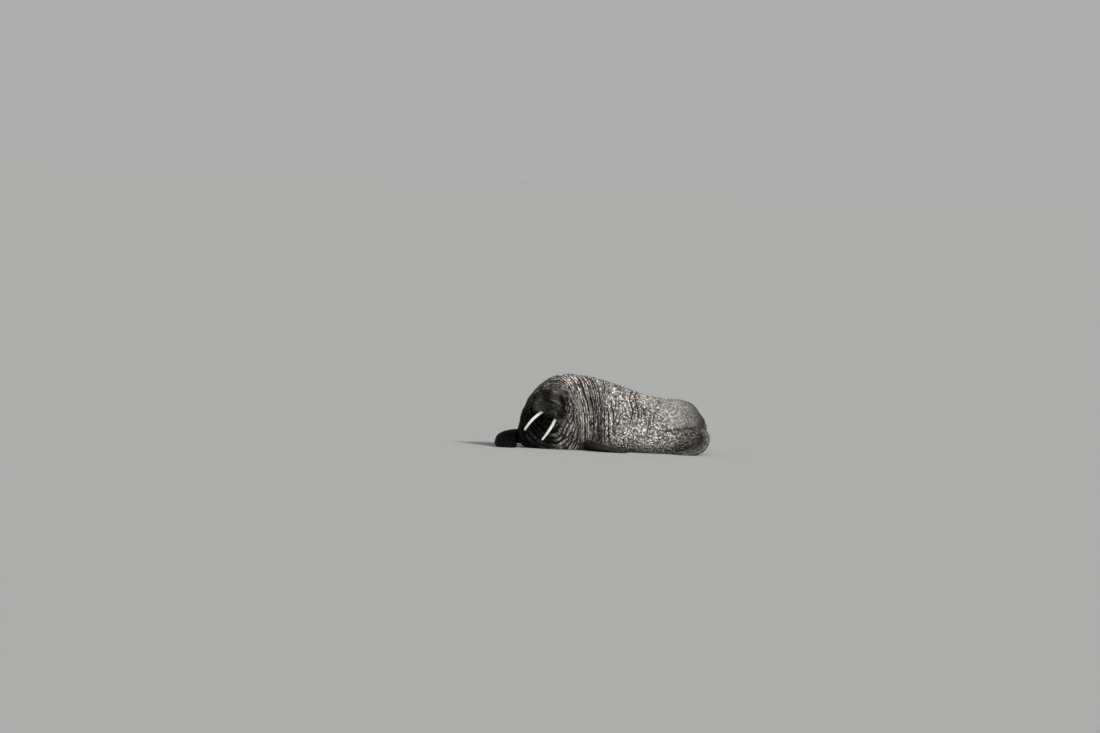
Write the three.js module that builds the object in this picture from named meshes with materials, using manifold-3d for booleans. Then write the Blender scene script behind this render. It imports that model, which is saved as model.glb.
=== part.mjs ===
// A life-size walrus, still, lying on its belly with its neck drawn in and its head turned to its left.
// Millimetres, +Z up, floor at z = 0. The body runs along X with the rump at +X, and the head faces -Y.
import * as THREE from "three";
import { mergeVertices } from "three/addons/utils/BufferGeometryUtils.js";
import Module from "manifold-3d";

const wasm = await Module();
wasm.setup();

// The space left between two pieces that meet face to face.
const GAP = 0.3;
const DEG = Math.PI / 180;

// Skin, ivory and the eye.
const hide = new THREE.MeshStandardMaterial({ color: 0x6b6258, roughness: 0.82, metalness: 0 });
const darkHide = new THREE.MeshStandardMaterial({ color: 0x2e2a27, roughness: 0.7, metalness: 0 });
const padHide = new THREE.MeshStandardMaterial({ color: 0x4f473f, roughness: 0.75, metalness: 0 });
const ivory = new THREE.MeshStandardMaterial({ color: 0xe9e2cf, roughness: 0.4, metalness: 0 });
const eyeDark = new THREE.MeshStandardMaterial({ color: 0x1a1210, roughness: 0.12, metalness: 0 });

// A value that runs smoothly through the stations of a list, read at a place counted in stations.
function through(values, place) {
  const last = values.length - 1;
  const i = Math.min(Math.max(Math.floor(place), 0), last - 1);
  const f = place - i;
  const a = values[Math.max(i - 1, 0)];
  const b = values[i];
  const c = values[i + 1];
  const d = values[Math.min(i + 2, last)];
  const slopeB = (c - a) / 2;
  const slopeC = (d - b) / 2;
  const f2 = f * f;
  const f3 = f2 * f;
  return (2 * f3 - 3 * f2 + 1) * b + (f3 - 2 * f2 + f) * slopeB
    + (3 * f2 - 2 * f3) * c + (f3 - f2) * slopeC;
}

// Every number of a list of stations at one place.
function stationAt(stations, place) {
  const made = {};
  for (const key of Object.keys(stations[0])) {
    if (typeof stations[0][key] === "number") {
      made[key] = through(stations.map((s) => s[key]), place);
    }
  }
  return made;
}

// A closed geometry through rings of equal count, with a flat fan over each end.
function loft(rings) {
  const around = rings[0].length;
  const points = rings.flat();
  const first = new THREE.Vector3();
  const last = new THREE.Vector3();
  rings[0].forEach((p) => first.addScaledVector(p, 1 / around));
  rings[rings.length - 1].forEach((p) => last.addScaledVector(p, 1 / around));
  const firstId = points.push(first) - 1;
  const lastId = points.push(last) - 1;
  const faces = [];
  for (let r = 0; r + 1 < rings.length; r++) {
    for (let k = 0; k < around; k++) {
      const n = (k + 1) % around;
      const a = r * around + k;
      const b = r * around + n;
      const c = (r + 1) * around + n;
      const d = (r + 1) * around + k;
      faces.push(a, b, c, a, c, d);
    }
  }
  const end = (rings.length - 1) * around;
  for (let k = 0; k < around; k++) {
    const n = (k + 1) % around;
    faces.push(firstId, n, k, lastId, end + k, end + n);
  }
  return facingOut(points, faces);
}

// The geometry of points and faces, turned so that its faces point out.
function facingOut(points, faces) {
  let volume = 0;
  for (let i = 0; i < faces.length; i += 3) {
    const [a, b, c] = [points[faces[i]], points[faces[i + 1]], points[faces[i + 2]]];
    volume += a.dot(b.clone().cross(c));
  }
  if (volume < 0) faces.reverse();
  const geometry = new THREE.BufferGeometry().setFromPoints(points);
  geometry.setIndex(faces);
  return geometry;
}

// A closed geometry as a solid that can be cut and joined.
function solid(geometry) {
  const bare = new THREE.BufferGeometry();
  const source = geometry.index ? geometry.toNonIndexed() : geometry;
  bare.setAttribute("position", source.getAttribute("position"));
  const merged = mergeVertices(bare, 1e-3);
  const mesh = new wasm.Mesh({
    numProp: 3,
    vertProperties: merged.attributes.position.array,
    triVerts: new Uint32Array(merged.index.array),
  });
  return new wasm.Manifold(mesh);
}

// The largest closed body of a solid, as a geometry.
function largest(made) {
  const bodies = made.decompose();
  bodies.sort((a, b) => b.volume() - a.volume());
  const mesh = bodies[0].getMesh();
  const geometry = new THREE.BufferGeometry();
  geometry.setAttribute("position", new THREE.BufferAttribute(mesh.vertProperties, 3));
  geometry.setIndex(new THREE.BufferAttribute(mesh.triVerts, 1));
  return geometry;
}

// A power that keeps its sign, for rounded sections.
const bent = (value, power) => Math.sign(value) * Math.abs(value) ** power;

// A step that rises smoothly from 0 at one place to 1 at another.
function rise(value, from, to) {
  const share = Math.min(Math.max((value - from) / (to - from), 0), 1);
  return share * share * (3 - 2 * share);
}

// A tapered bristle, claw or other spine through a root, a middle and a tip, with few sides.
function spine({ root, middle, tip, radius, point, sides }) {
  const ahead = tip.clone().sub(root).normalize();
  const lean = Math.abs(ahead.z) < 0.9 ? new THREE.Vector3(0, 0, 1) : new THREE.Vector3(1, 0, 0);
  const across = new THREE.Vector3().crossVectors(ahead, lean).normalize();
  const along = new THREE.Vector3().crossVectors(ahead, across);
  const points = [];
  for (const [centre, size] of [[root, radius], [middle, (radius + point) / 2], [tip, point]]) {
    for (let k = 0; k < sides; k++) {
      const angle = (2 * Math.PI * k) / sides;
      points.push(centre.clone()
        .addScaledVector(across, Math.cos(angle) * size)
        .addScaledVector(along, Math.sin(angle) * size));
    }
  }
  const faces = [];
  for (const start of [0, sides]) {
    for (let k = 0; k < sides; k++) {
      const n = (k + 1) % sides;
      const [a, b, c, d] = [start + k, start + n, start + sides + n, start + sides + k];
      faces.push(a, b, c, a, c, d);
    }
  }
  for (let k = 1; k + 1 < sides; k++) {
    faces.push(0, k + 1, k, 2 * sides, 2 * sides + k, 2 * sides + k + 1);
  }
  return facingOut(points, faces);
}

// Numbers from 0 to 1 that look random and are the same each time.
let seed = 1207;
function draw() {
  seed = (seed * 16807) % 2147483647;
  return seed / 2147483647;
}

const group = new THREE.Group();

function add(name, geometry, material) {
  const mesh = new THREE.Mesh(geometry, material);
  mesh.name = name;
  group.add(mesh);
  return mesh;
}

// Forward, right and up of a thing that is turned from -X towards -Y by its yaw, and looks down by its pitch.
function axesOf(yaw, pitch) {
  const forward = new THREE.Vector3(
    -Math.cos(yaw * DEG) * Math.cos(pitch * DEG),
    -Math.sin(yaw * DEG) * Math.cos(pitch * DEG),
    -Math.sin(pitch * DEG),
  );
  const right = new THREE.Vector3().crossVectors(forward, new THREE.Vector3(0, 0, 1)).normalize();
  const up = new THREE.Vector3().crossVectors(right, forward);
  return { forward, right, up };
}

// The head's own frame: x to its right, y forward, z up, with its middle between the roots of the tusks.
const HEAD = { x: -629, y: -640, z: 471, yaw: 101, pitch: 15, roll: 27.5 };
const headLevel = axesOf(HEAD.yaw, HEAD.pitch);
const headRight = headLevel.right.clone().multiplyScalar(Math.cos(HEAD.roll * DEG))
  .addScaledVector(headLevel.up, Math.sin(HEAD.roll * DEG));
const headUp = new THREE.Vector3().crossVectors(headRight, headLevel.forward);
const headFrame = new THREE.Matrix4().makeBasis(headRight, headLevel.forward, headUp);
headFrame.setPosition(HEAD.x, HEAD.y, HEAD.z);

// A geometry taken from the head's frame to the part's.
function inPlace(geometry) {
  return geometry.clone().applyMatrix4(headFrame);
}

// The trunk, from the rump to the collar of skin behind the head, ring by ring. Each has its name, its middle,
// the way it faces (yaw, pitch), its reach from there (left, right, top, bottom), its shape (crown, belly: 2 is
// round, more is squarer), and how far its foot bulges forward (chest).
function ring(at, [x, y, z], [yaw, pitch], [left, right, top, bottom], [crown, belly], chest) {
  return { at, x, y, z, yaw, pitch, left, right, top, bottom, crown, belly, chest };
}
const TRUNK = [
  ring("rump end", [1292, 20, 372], [0, 0], [70, 70, 62, 80], [2, 2], 0),
  ring("rump", [1240, 20, 310], [0, 0], [225, 225, 190, 235], [2, 2.1], 0),
  ring("haunch", [1130, 20, 275], [0, 0], [345, 345, 357, 300], [2, 2.3], 0),
  ring("hips", [960, 20, 270], [0, 0], [420, 420, 410, 330], [2.05, 2.5], 0),
  ring("loin", [740, 20, 280], [0, 0], [470, 470, 405, 350], [2.1, 2.6], 0),
  ring("waist", [500, 20, 290], [0, 0], [505, 505, 440, 360], [2.1, 2.6], 0),
  ring("flank", [250, 20, 300], [0, 0], [530, 535, 512, 370], [2.1, 2.6], 0),
  ring("ribs", [20, 20, 300], [4, 0], [525, 545, 578, 375], [2.1, 2.6], 0),
  ring("shoulder", [-170, 10, 280], [18, 0], [480, 560, 636, 355], [2.05, 2.6], 0),
  ring("withers", [-320, -50, 240], [36, 0], [400, 580, 694, 300], [2, 2.6], 0),
  ring("neck", [-438, -140, 190], [56, 0], [335, 585, 748, 240], [1.95, 2.8], 20),
  ring("throat", [-515, -240, 170], [74, 6], [292, 530, 742, 210], [1.82, 3], 90),
  ring("mane", [-570, -325, 300], [86, 14], [270, 430, 532, 305], [1.88, 2.5], 150),
  ring("ruff", [-630, -395, 468], [95, 15], [262, 290, 315, 310], [1.95, 2.1], 110),
  ring("collar", [-656, -472, 552], [101, 15], [190, 195, 212, 190], [2, 2], 20),
];
const AROUND = 36;
// The cuts between the nodes of the trunk, counted in stations.
const CUTS = [["rump", 0, 3.5], ["belly", 3.5, 6.5], ["chest", 6.5, 8.5], ["neck", 8.5, TRUNK.length - 1]];

const place = (name) => TRUNK.findIndex((s) => s.at === name);

// The rolls of skin round the neck: where they start and end, how many, and how deep. fade: the share over
// which they grow to their full depth. round: less is fuller. set: how far they are set back into the skin.
const FOLDS = {
  from: place("ribs") - 0.3, to: place("collar"), count: 12, depth: 18, fade: 0.25, round: 0.7, set: 0.6,
};

// How far the skin stands out at a place along the trunk. Each roll is round, and a sharp crease parts two.
function foldAt(spot) {
  const share = (spot - FOLDS.from) / (FOLDS.to - FOLDS.from);
  if (share <= 0 || share >= 1) return 0;
  const fade = Math.min(1, share / FOLDS.fade);
  const phase = (share * FOLDS.count) % 1;
  return FOLDS.depth * fade * (Math.sin(Math.PI * phase) ** FOLDS.round - FOLDS.set);
}

// A point of the trunk without its folds, at a place along it and an angle round it.
function trunkPoint(spot, angle) {
  const s = stationAt(TRUNK, spot);
  const { forward, right, up } = axesOf(s.yaw, s.pitch);
  const high = Math.sin(angle) > 0;
  const power = 2 / (high ? s.crown : s.belly);
  const side = Math.cos(angle) > 0 ? s.right : s.left;
  return new THREE.Vector3(s.x, s.y, s.z)
    .addScaledVector(right, bent(Math.cos(angle), power) * side)
    .addScaledVector(up, bent(Math.sin(angle), power) * (high ? s.top : s.bottom))
    .addScaledVector(forward, high ? 0 : s.chest * Math.sin(angle) ** 2);
}

// A ring of the trunk, with its folds and any growth standing out along the skin's own normal.
function trunkRing(spot, shift = 0, grow = 0) {
  const s = stationAt(TRUNK, spot);
  const { forward } = axesOf(s.yaw, s.pitch);
  const out = foldAt(spot) + grow;
  const near = 0.02;
  const back = Math.max(spot - near, 0);
  const ahead = Math.min(spot + near, TRUNK.length - 1);
  const ring = [];
  for (let k = 0; k < AROUND; k++) {
    const angle = (2 * Math.PI * (k + 0.5)) / AROUND;
    const p = trunkPoint(spot, angle);
    const round = trunkPoint(spot, angle + near).sub(trunkPoint(spot, angle - near));
    const along = trunkPoint(ahead, angle).sub(trunkPoint(back, angle));
    const normal = new THREE.Vector3().crossVectors(along, round).normalize();
    p.addScaledVector(normal, out).addScaledVector(forward, shift);
    p.z = Math.max(p.z, -grow);
    ring.push(p);
  }
  return ring;
}

// The places of the rings between two cuts: close together over the folds, further apart behind.
function ringPlaces(from, to) {
  const places = [];
  const plain = 0.5;
  const foldStep = (FOLDS.to - FOLDS.from) / FOLDS.count;
  const inFold = [0, 0.3, 0.7];
  for (let p = Math.ceil(from / plain) * plain; p < FOLDS.from; p += plain) places.push(p);
  for (let n = 0; n < FOLDS.count; n++) {
    for (const f of inFold) places.push(FOLDS.from + (n + f) * foldStep);
  }
  const near = 0.05;
  const kept = places.filter((p) => p > from + near && p < to - near);
  return [from, ...kept, to];
}

// A length of the trunk. Its inner ends stand half a gap back from the cuts.
function trunkPart(from, to, grow = 0) {
  const places = ringPlaces(from, to);
  const rings = places.map((p, i) => {
    if (i === 0 && from > 0) return trunkRing(p, GAP / 2 - grow, grow);
    if (i === places.length - 1) return trunkRing(p, grow - GAP / 2, grow);
    return trunkRing(p, 0, grow);
  });
  return loft(rings);
}

// The roots of the limbs are cut to fit the trunk, which is grown by a gap for that.
const trunkGrown = CUTS.map(([, from, to]) => solid(trunkPart(from, to, GAP)));
function fitted(limb) {
  return largest(trunkGrown.reduce((left, length) => left.subtract(length), limb));
}

// The skull under its skin, from the collar to the tip of the nose.
const SKULL = [
  { y: -240, half: 202, top: 244, bottom: -160, crown: 1.8, cheek: 2.1 },
  { y: -185, half: 186, top: 243, bottom: -134, crown: 1.62, cheek: 2.1 },
  { y: -125, half: 168, top: 231, bottom: -108, crown: 1.55, cheek: 2.2 },
  { y: -68, half: 150, top: 204, bottom: -82, crown: 1.6, cheek: 2.3 },
  { y: -22, half: 130, top: 176, bottom: -54, crown: 1.75, cheek: 2.3 },
  { y: 14, half: 106, top: 156, bottom: -16, crown: 1.9, cheek: 2.2 },
  { y: 40, half: 82, top: 143, bottom: 26, crown: 2.1, cheek: 2.1 },
  { y: 56, half: 60, top: 130, bottom: 56, crown: 2.1, cheek: 2 },
  { y: 64, half: 32, top: 114, bottom: 76, crown: 2, cheek: 2 },
];
const EYE = { x: 103, y: -130, z: 177, radius: 21 };
// The swelling of the skull round each eye.
const ORBIT = { reach: 48, height: 9 };

function skullPoint(spot, angle, grow = 0) {
  const s = stationAt(SKULL, spot);
  const middle = (s.top + s.bottom) / 2;
  const half = (s.top - s.bottom) / 2;
  const power = 2 / (Math.sin(angle) > 0 ? s.crown : s.cheek);
  const p = new THREE.Vector3(
    bent(Math.cos(angle), power) * (s.half + grow),
    s.y,
    middle + bent(Math.sin(angle), power) * (half + grow),
  );
  const away = Math.hypot(Math.abs(p.x) - EYE.x, p.y - EYE.y, p.z - EYE.z);
  const swell = 1 + (ORBIT.height * Math.exp(-((away / ORBIT.reach) ** 2))) / EYE.x;
  p.x *= swell;
  p.z = middle + (p.z - middle) * swell;
  return p;
}

function skull(grow = 0) {
  const around = 30;
  const steps = 16;
  const rings = [];
  for (let i = 0; i <= steps; i++) {
    const spot = (i / steps) * (SKULL.length - 1);
    const ring = [];
    for (let k = 0; k < around; k++) ring.push(skullPoint(spot, (2 * Math.PI * k) / around, grow));
    rings.push(ring);
  }
  rings[0].forEach((p) => { p.y -= grow; });
  rings[steps].forEach((p) => { p.y += grow; });
  return loft(rings);
}

// A tube along an arc in the plane of two directions. It is thinnest at its ends, by a share of its radius.
const TUBE_END = 0.35;
function arcTube({ middle, across, along, reachAcross, reachAlong, from, to, radius, steps, around }) {
  const rings = [];
  const out = new THREE.Vector3().crossVectors(across, along).normalize();
  for (let i = 0; i <= steps; i++) {
    const angle = from + ((to - from) * i) / steps;
    const spoke = new THREE.Vector3()
      .addScaledVector(across, Math.cos(angle) * reachAcross)
      .addScaledVector(along, Math.sin(angle) * reachAlong);
    const centre = middle.clone().add(spoke);
    const thin = radius * (TUBE_END + (1 - TUBE_END) * Math.sqrt(Math.sin((Math.PI * i) / steps)));
    spoke.normalize();
    const ring = [];
    for (let k = 0; k < around; k++) {
      const turn = (2 * Math.PI * k) / around;
      ring.push(centre.clone()
        .addScaledVector(spoke, Math.cos(turn) * thin)
        .addScaledVector(out, Math.sin(turn) * thin));
    }
    rings.push(ring);
  }
  return loft(rings);
}

// A pad of whiskers. It hangs over the lip and droops at its outer foot, and lifts where the two meet over
// the mouth.
const PAD = {
  x: 82, y: 12, z: 45, half: 116, deep: 82, high: 80,
  droop: 12, shoulder: 0.6, lift: 56, sweep: 0.3, square: 0.84,
};

// The place on the surface of a pad, or inside it, in a direction from its middle.
function padPoint(side, direction, grow = 0) {
  const x = bent(direction.x, PAD.square) * (PAD.half + grow);
  const y = bent(direction.y, PAD.square) * (PAD.deep + grow);
  const outer = Math.max((x / PAD.half + 1) / 2, 0);
  const inner = Math.max(-x / PAD.half, 0);
  const low = Math.max(-direction.z, 0);
  const hang = PAD.droop * outer * outer * (low > 0 ? 1 : PAD.shoulder) - PAD.lift * inner * inner * low;
  const z = bent(direction.z, PAD.square) * (PAD.high + grow) - hang;
  return new THREE.Vector3(side * (PAD.x + x), PAD.y + y - PAD.sweep * outer * x, PAD.z + z);
}

function pad(side, grow = 0) {
  const ball = new THREE.SphereGeometry(1, 22, 14);
  ball.rotateX(Math.PI / 2);
  const points = ball.getAttribute("position");
  for (let i = 0; i < points.count; i++) {
    const p = padPoint(side, new THREE.Vector3().fromBufferAttribute(points, i), grow);
    points.setXYZ(i, p.x, p.y, p.z);
  }
  if (side < 0) ball.index.array.reverse();
  return ball;
}

// A tusk: its root is sunk in the head, and it runs down, out and a little back.
// blunt: its last ring's share of the tip. deep: its depth over its width.
const TUSK = {
  x: 93, y: 4, z: -29, sunk: 60, long: 362, spread: 38, bow: 6, back: 116,
  root: 21.5, waist: 19.5, tip: 13, blunt: 0.55, deep: 1.15,
};

function tusk(side, grow = 0) {
  const steps = 12;
  const around = 12;
  const rings = [];
  for (let i = 0; i <= steps; i++) {
    const along = -TUSK.sunk + ((TUSK.long + TUSK.sunk) * i) / steps;
    const share = along / TUSK.long;
    const centre = new THREE.Vector3(
      side * (TUSK.x + TUSK.spread * share + TUSK.bow * Math.sin(Math.PI * share)),
      TUSK.y - (TUSK.back * share * (1 + Math.abs(share))) / 2,
      TUSK.z - along,
    );
    const upper = TUSK.root + (TUSK.waist - TUSK.root) * Math.max(share, 0) * 2;
    const lower = TUSK.waist + (TUSK.tip - TUSK.waist) * (share - 0.5) * 2;
    const blunt = i === steps ? TUSK.blunt : 1;
    const radius = (share < 0.5 ? upper : lower) * blunt + grow;
    const ring = [];
    for (let k = 0; k < around; k++) {
      const angle = (2 * Math.PI * k) / around;
      const spoke = new THREE.Vector3(Math.cos(angle) * radius, Math.sin(angle) * radius * TUSK.deep, 0);
      ring.push(spoke.add(centre));
    }
    rings.push(ring);
  }
  rings[0].forEach((p) => { p.z += grow; });
  return loft(rings);
}

// The lower jaw, with the lower lip round its front.
const JAW = [
  { y: -225, half: 112, top: -80, bottom: -160 },
  { y: -150, half: 92, top: -62, bottom: -140 },
  { y: -80, half: 74, top: -38, bottom: -116 },
  { y: -25, half: 60, top: -10, bottom: -96 },
  { y: 16, half: 52, top: 14, bottom: -78 },
  { y: 44, half: 44, top: 20, bottom: -64 },
  { y: 60, half: 32, top: 10, bottom: -50 },
  { y: 68, half: 14, top: -6, bottom: -34 },
];

const JAW_SQUARE = 0.85;
function jaw(grow = 0) {
  const around = 18;
  const steps = 10;
  const rings = [];
  for (let i = 0; i <= steps; i++) {
    const s = stationAt(JAW, (i / steps) * (JAW.length - 1));
    const ring = [];
    for (let k = 0; k < around; k++) {
      const angle = (2 * Math.PI * k) / around;
      ring.push(new THREE.Vector3(
        bent(Math.cos(angle), JAW_SQUARE) * (s.half + grow),
        s.y,
        (s.top + s.bottom) / 2 + bent(Math.sin(angle), JAW_SQUARE) * ((s.top - s.bottom) / 2 + grow),
      ));
    }
    rings.push(ring);
  }
  rings[0].forEach((p) => { p.y -= grow; });
  rings[steps].forEach((p) => { p.y += grow; });
  return loft(rings);
}

function eyeball(side, grow = 0) {
  return new THREE.SphereGeometry(EYE.radius + grow, 12, 8).translate(side * EYE.x, EYE.y, EYE.z);
}

// The two lids round each eye, as rims that stand out of the skin. The eye looks outwards, up and forwards.
const LOOK = new THREE.Vector3(0.82, 0.34, 0.46).normalize();
const LID = { out: 9, half: 23, high: 17, upper: 8, lower: 6.4, overlap: 0.2 };

function lids(side) {
  const look = LOOK.clone().setX(LOOK.x * side);
  const along = new THREE.Vector3(0, 0, 1).addScaledVector(look, -look.z).normalize();
  const across = new THREE.Vector3().crossVectors(along, look);
  const middle = new THREE.Vector3(side * EYE.x, EYE.y, EYE.z).addScaledVector(look, LID.out);
  const rim = { middle, across, along, reachAcross: LID.half, reachAlong: LID.high, steps: 9, around: 6 };
  const { upper, lower, overlap } = LID;
  return [
    arcTube({ ...rim, from: -overlap, to: Math.PI + overlap, radius: upper }),
    arcTube({ ...rim, from: Math.PI - overlap, to: 2 * Math.PI + overlap, radius: lower }),
  ];
}

// The nostrils: two slits that curve up and out over the tip of the nose.
const NOSTRIL = { x: 28, y: 52, z: 121, half: 15, high: 18, radius: 6, lean: 38, from: -17, to: 153 };

function nostril(side) {
  const across = new THREE.Vector3(side, 0, 0);
  const along = new THREE.Vector3(0, -Math.sin(NOSTRIL.lean * DEG), Math.cos(NOSTRIL.lean * DEG));
  const middle = new THREE.Vector3(side * NOSTRIL.x, NOSTRIL.y, NOSTRIL.z);
  return arcTube({
    middle, across, along, reachAcross: NOSTRIL.half, reachAlong: NOSTRIL.high, radius: NOSTRIL.radius,
    from: NOSTRIL.from * DEG, to: NOSTRIL.to * DEG, steps: 8, around: 8,
  });
}

// The lower lip, a roll round the front of the jaw, and the lip that each pad folds round its tusk's root.
const LIP = { y: -45, z: -34, half: 58, long: 108, tilt: 20, radius: 13 };
const TUSK_LIP = { x: 95, y: 0, z: -44, reach: 27, radius: 10 };

function lowerLip(grow = 0) {
  return arcTube({
    middle: new THREE.Vector3(0, LIP.y, LIP.z),
    across: new THREE.Vector3(1, 0, 0),
    along: new THREE.Vector3(0, Math.cos(LIP.tilt * DEG), Math.sin(LIP.tilt * DEG)),
    reachAcross: LIP.half, reachAlong: LIP.long, radius: LIP.radius + grow,
    from: 0, to: Math.PI, steps: 12, around: 8,
  });
}

// Two half rings, the ends of one in the ends of the other.
function tuskLip(side, grow = 0) {
  const half = {
    middle: new THREE.Vector3(side * TUSK_LIP.x, TUSK_LIP.y, TUSK_LIP.z),
    across: new THREE.Vector3(side, 0, 0),
    along: new THREE.Vector3(0, 1, 0),
    reachAcross: TUSK_LIP.reach, reachAlong: TUSK_LIP.reach, radius: TUSK_LIP.radius + grow,
    steps: 8, around: 6,
  };
  const overlap = 0.6;
  return [0, Math.PI].map((start) => (
    arcTube({ ...half, from: start - overlap, to: start + Math.PI + overlap })
  ));
}

// The moustache: rows of bristles over the front and the foot of each pad, longest at its outer edge.
// turn: from the nose outwards and back. tilt: from the foot of the pad up. Both in degrees.
const MOUSTACHE = { rows: 5, inRow: 9, turnFrom: -42, turnTo: 100, tiltFrom: -58, tiltTo: 30 };
// Millimetres, with vary a share of the length and jitter in degrees.
const BRISTLE = {
  sunk: 13, short: 20, long: 66, vary: 0.2, root: 2.5, tip: 0.7, hang: 0.45, sweep: 0.25, jitter: 5,
};

function bristle(side, turn, tilt) {
  const direction = new THREE.Vector3(
    Math.sin(turn * DEG) * Math.cos(tilt * DEG),
    Math.cos(turn * DEG) * Math.cos(tilt * DEG),
    Math.sin(tilt * DEG),
  );
  const start = padPoint(side, direction);
  const outer = rise(turn, MOUSTACHE.turnFrom, MOUSTACHE.turnTo);
  const usual = BRISTLE.short + (BRISTLE.long - BRISTLE.short) * outer;
  const length = usual * (1 + BRISTLE.vary * (2 * draw() - 1));
  const ahead = new THREE.Vector3(direction.x + BRISTLE.sweep, direction.y, direction.z - BRISTLE.hang);
  ahead.normalize();
  ahead.x *= side;
  const down = new THREE.Vector3(0, 0, (-BRISTLE.hang * length) / 2);
  return spine({
    root: start.clone().addScaledVector(ahead, -BRISTLE.sunk),
    middle: start.clone().addScaledVector(ahead, length / 2),
    tip: start.clone().addScaledVector(ahead, length).add(down),
    radius: BRISTLE.root, point: BRISTLE.tip, sides: 3,
  });
}

// The bristles of one pad that stand clear of every solid of a list.
function bristles(side, others) {
  const made = [];
  for (let row = 0; row < MOUSTACHE.rows; row++) {
    const up = (row + 0.5) / MOUSTACHE.rows;
    const rowTilt = MOUSTACHE.tiltFrom + (MOUSTACHE.tiltTo - MOUSTACHE.tiltFrom) * up;
    const count = Math.round(MOUSTACHE.inRow * Math.sqrt(Math.cos(rowTilt * DEG)));
    for (let i = 0; i < count; i++) {
      const stagger = row % 2 ? 0.75 : 0.25;
      const turn = MOUSTACHE.turnFrom + ((MOUSTACHE.turnTo - MOUSTACHE.turnFrom) * (i + stagger)) / count;
      const apart = () => (2 * draw() - 1) * BRISTLE.jitter;
      const hair = solid(bristle(side, turn + apart(), rowTilt + apart()));
      if (others.every((other) => other.intersect(hair).isEmpty())) made.push(hair);
    }
  }
  return made;
}

const SIDES = [["right", 1], ["left", -1]];
// A length greater than the whole head.
const HEAD_ROOM = 800;
const [, neckFrom, neckTo] = CUTS[CUTS.length - 1];
const skullGrown = solid(skull(GAP));
const tuskHoles = SIDES.map(([, side]) => solid(tusk(side, GAP)));
let headSolid = solid(skull());
for (const [word, side] of SIDES) {
  lids(side).forEach((rim) => { headSolid = headSolid.add(solid(rim)); });
  headSolid = headSolid.subtract(solid(eyeball(side, GAP))).subtract(solid(nostril(side)));
  add("tusk_" + word, inPlace(tusk(side)), ivory);
  add("eye_" + word, inPlace(eyeball(side)), eyeDark);
}
tuskHoles.forEach((hole) => { headSolid = headSolid.subtract(hole); });
add("head", inPlace(largest(headSolid)), hide);

const toHead = headFrame.clone().invert();
const neckInHead = solid(trunkPart(neckFrom, neckTo, GAP)).transform(toHead.toArray());
const jawGrown = solid(jaw(GAP)).add(solid(lowerLip(GAP)));
let jawSolid = solid(jaw()).add(solid(lowerLip())).subtract(skullGrown);
let neckSolid = solid(trunkPart(neckFrom, neckTo)).subtract(solid(inPlace(skull(GAP))));
for (const [word, side] of SIDES) {
  // Everything on this side of the head's middle plane.
  const own = new THREE.BoxGeometry(HEAD_ROOM, HEAD_ROOM, HEAD_ROOM);
  own.translate(side * (HEAD_ROOM + GAP) / 2, 0, 0);
  let padSolid = solid(pad(side));
  tuskLip(side).forEach((roll) => { padSolid = padSolid.add(solid(roll)); });
  const others = [skullGrown, jawGrown, neckInHead, ...tuskHoles];
  bristles(side, others).forEach((hair) => { padSolid = padSolid.add(hair); });
  padSolid = padSolid.subtract(skullGrown).intersect(solid(own));
  tuskHoles.forEach((hole) => { padSolid = padSolid.subtract(hole); });
  add("whisker_pad_" + word, inPlace(largest(padSolid)), padHide);
  jawSolid = jawSolid.subtract(solid(pad(side, GAP)));
  tuskLip(side, GAP).forEach((roll) => { jawSolid = jawSolid.subtract(solid(roll)); });
  neckSolid = neckSolid.subtract(solid(inPlace(pad(side, GAP)))).subtract(solid(inPlace(tusk(side, GAP))));
}
tuskHoles.forEach((hole) => { jawSolid = jawSolid.subtract(hole); });
add("lower_jaw", inPlace(largest(jawSolid)), hide);
neckSolid = neckSolid.subtract(solid(inPlace(jaw(GAP)))).subtract(solid(inPlace(lowerLip(GAP))));

for (const [name, from, to] of CUTS.slice(0, -1)) add(name, trunkPart(from, to), hide);
add("neck", largest(neckSolid), hide);

// A flipper, from its root inside the body to the tips of its digits.
// x, y, z: the middle of the ring. wx, wy: the way its width runs. half, thick: half its width and thickness.
const DIGITS = 5;
const SAMPLES = 3 * DIGITS;
const FLIPPER_STEPS = 12;
// The places across a flipper: over the back of the hand there are three to a digit, and on the palm one.
const OVER = Array.from({ length: SAMPLES + 1 }, (_, i) => 1 - (2 * i) / SAMPLES);
const UNDER = Array.from({ length: DIGITS - 1 }, (_, i) => -1 + (2 * (i + 1)) / DIGITS);

// The way ahead, across and out of the back of the hand at one place along a flipper.
function flipperAxes(stations, spot) {
  const near = 0.02;
  const s = stationAt(stations, spot);
  const before = stationAt(stations, Math.max(spot - near, 0));
  const after = stationAt(stations, Math.min(spot + near, stations.length - 1));
  const ahead = new THREE.Vector3(after.x - before.x, after.y - before.y, after.z - before.z).normalize();
  const side = new THREE.Vector3(s.wx, s.wy, 0);
  side.addScaledVector(ahead, -side.dot(ahead)).normalize();
  const over = new THREE.Vector3().crossVectors(side, ahead);
  return { ahead, side, over };
}

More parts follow.
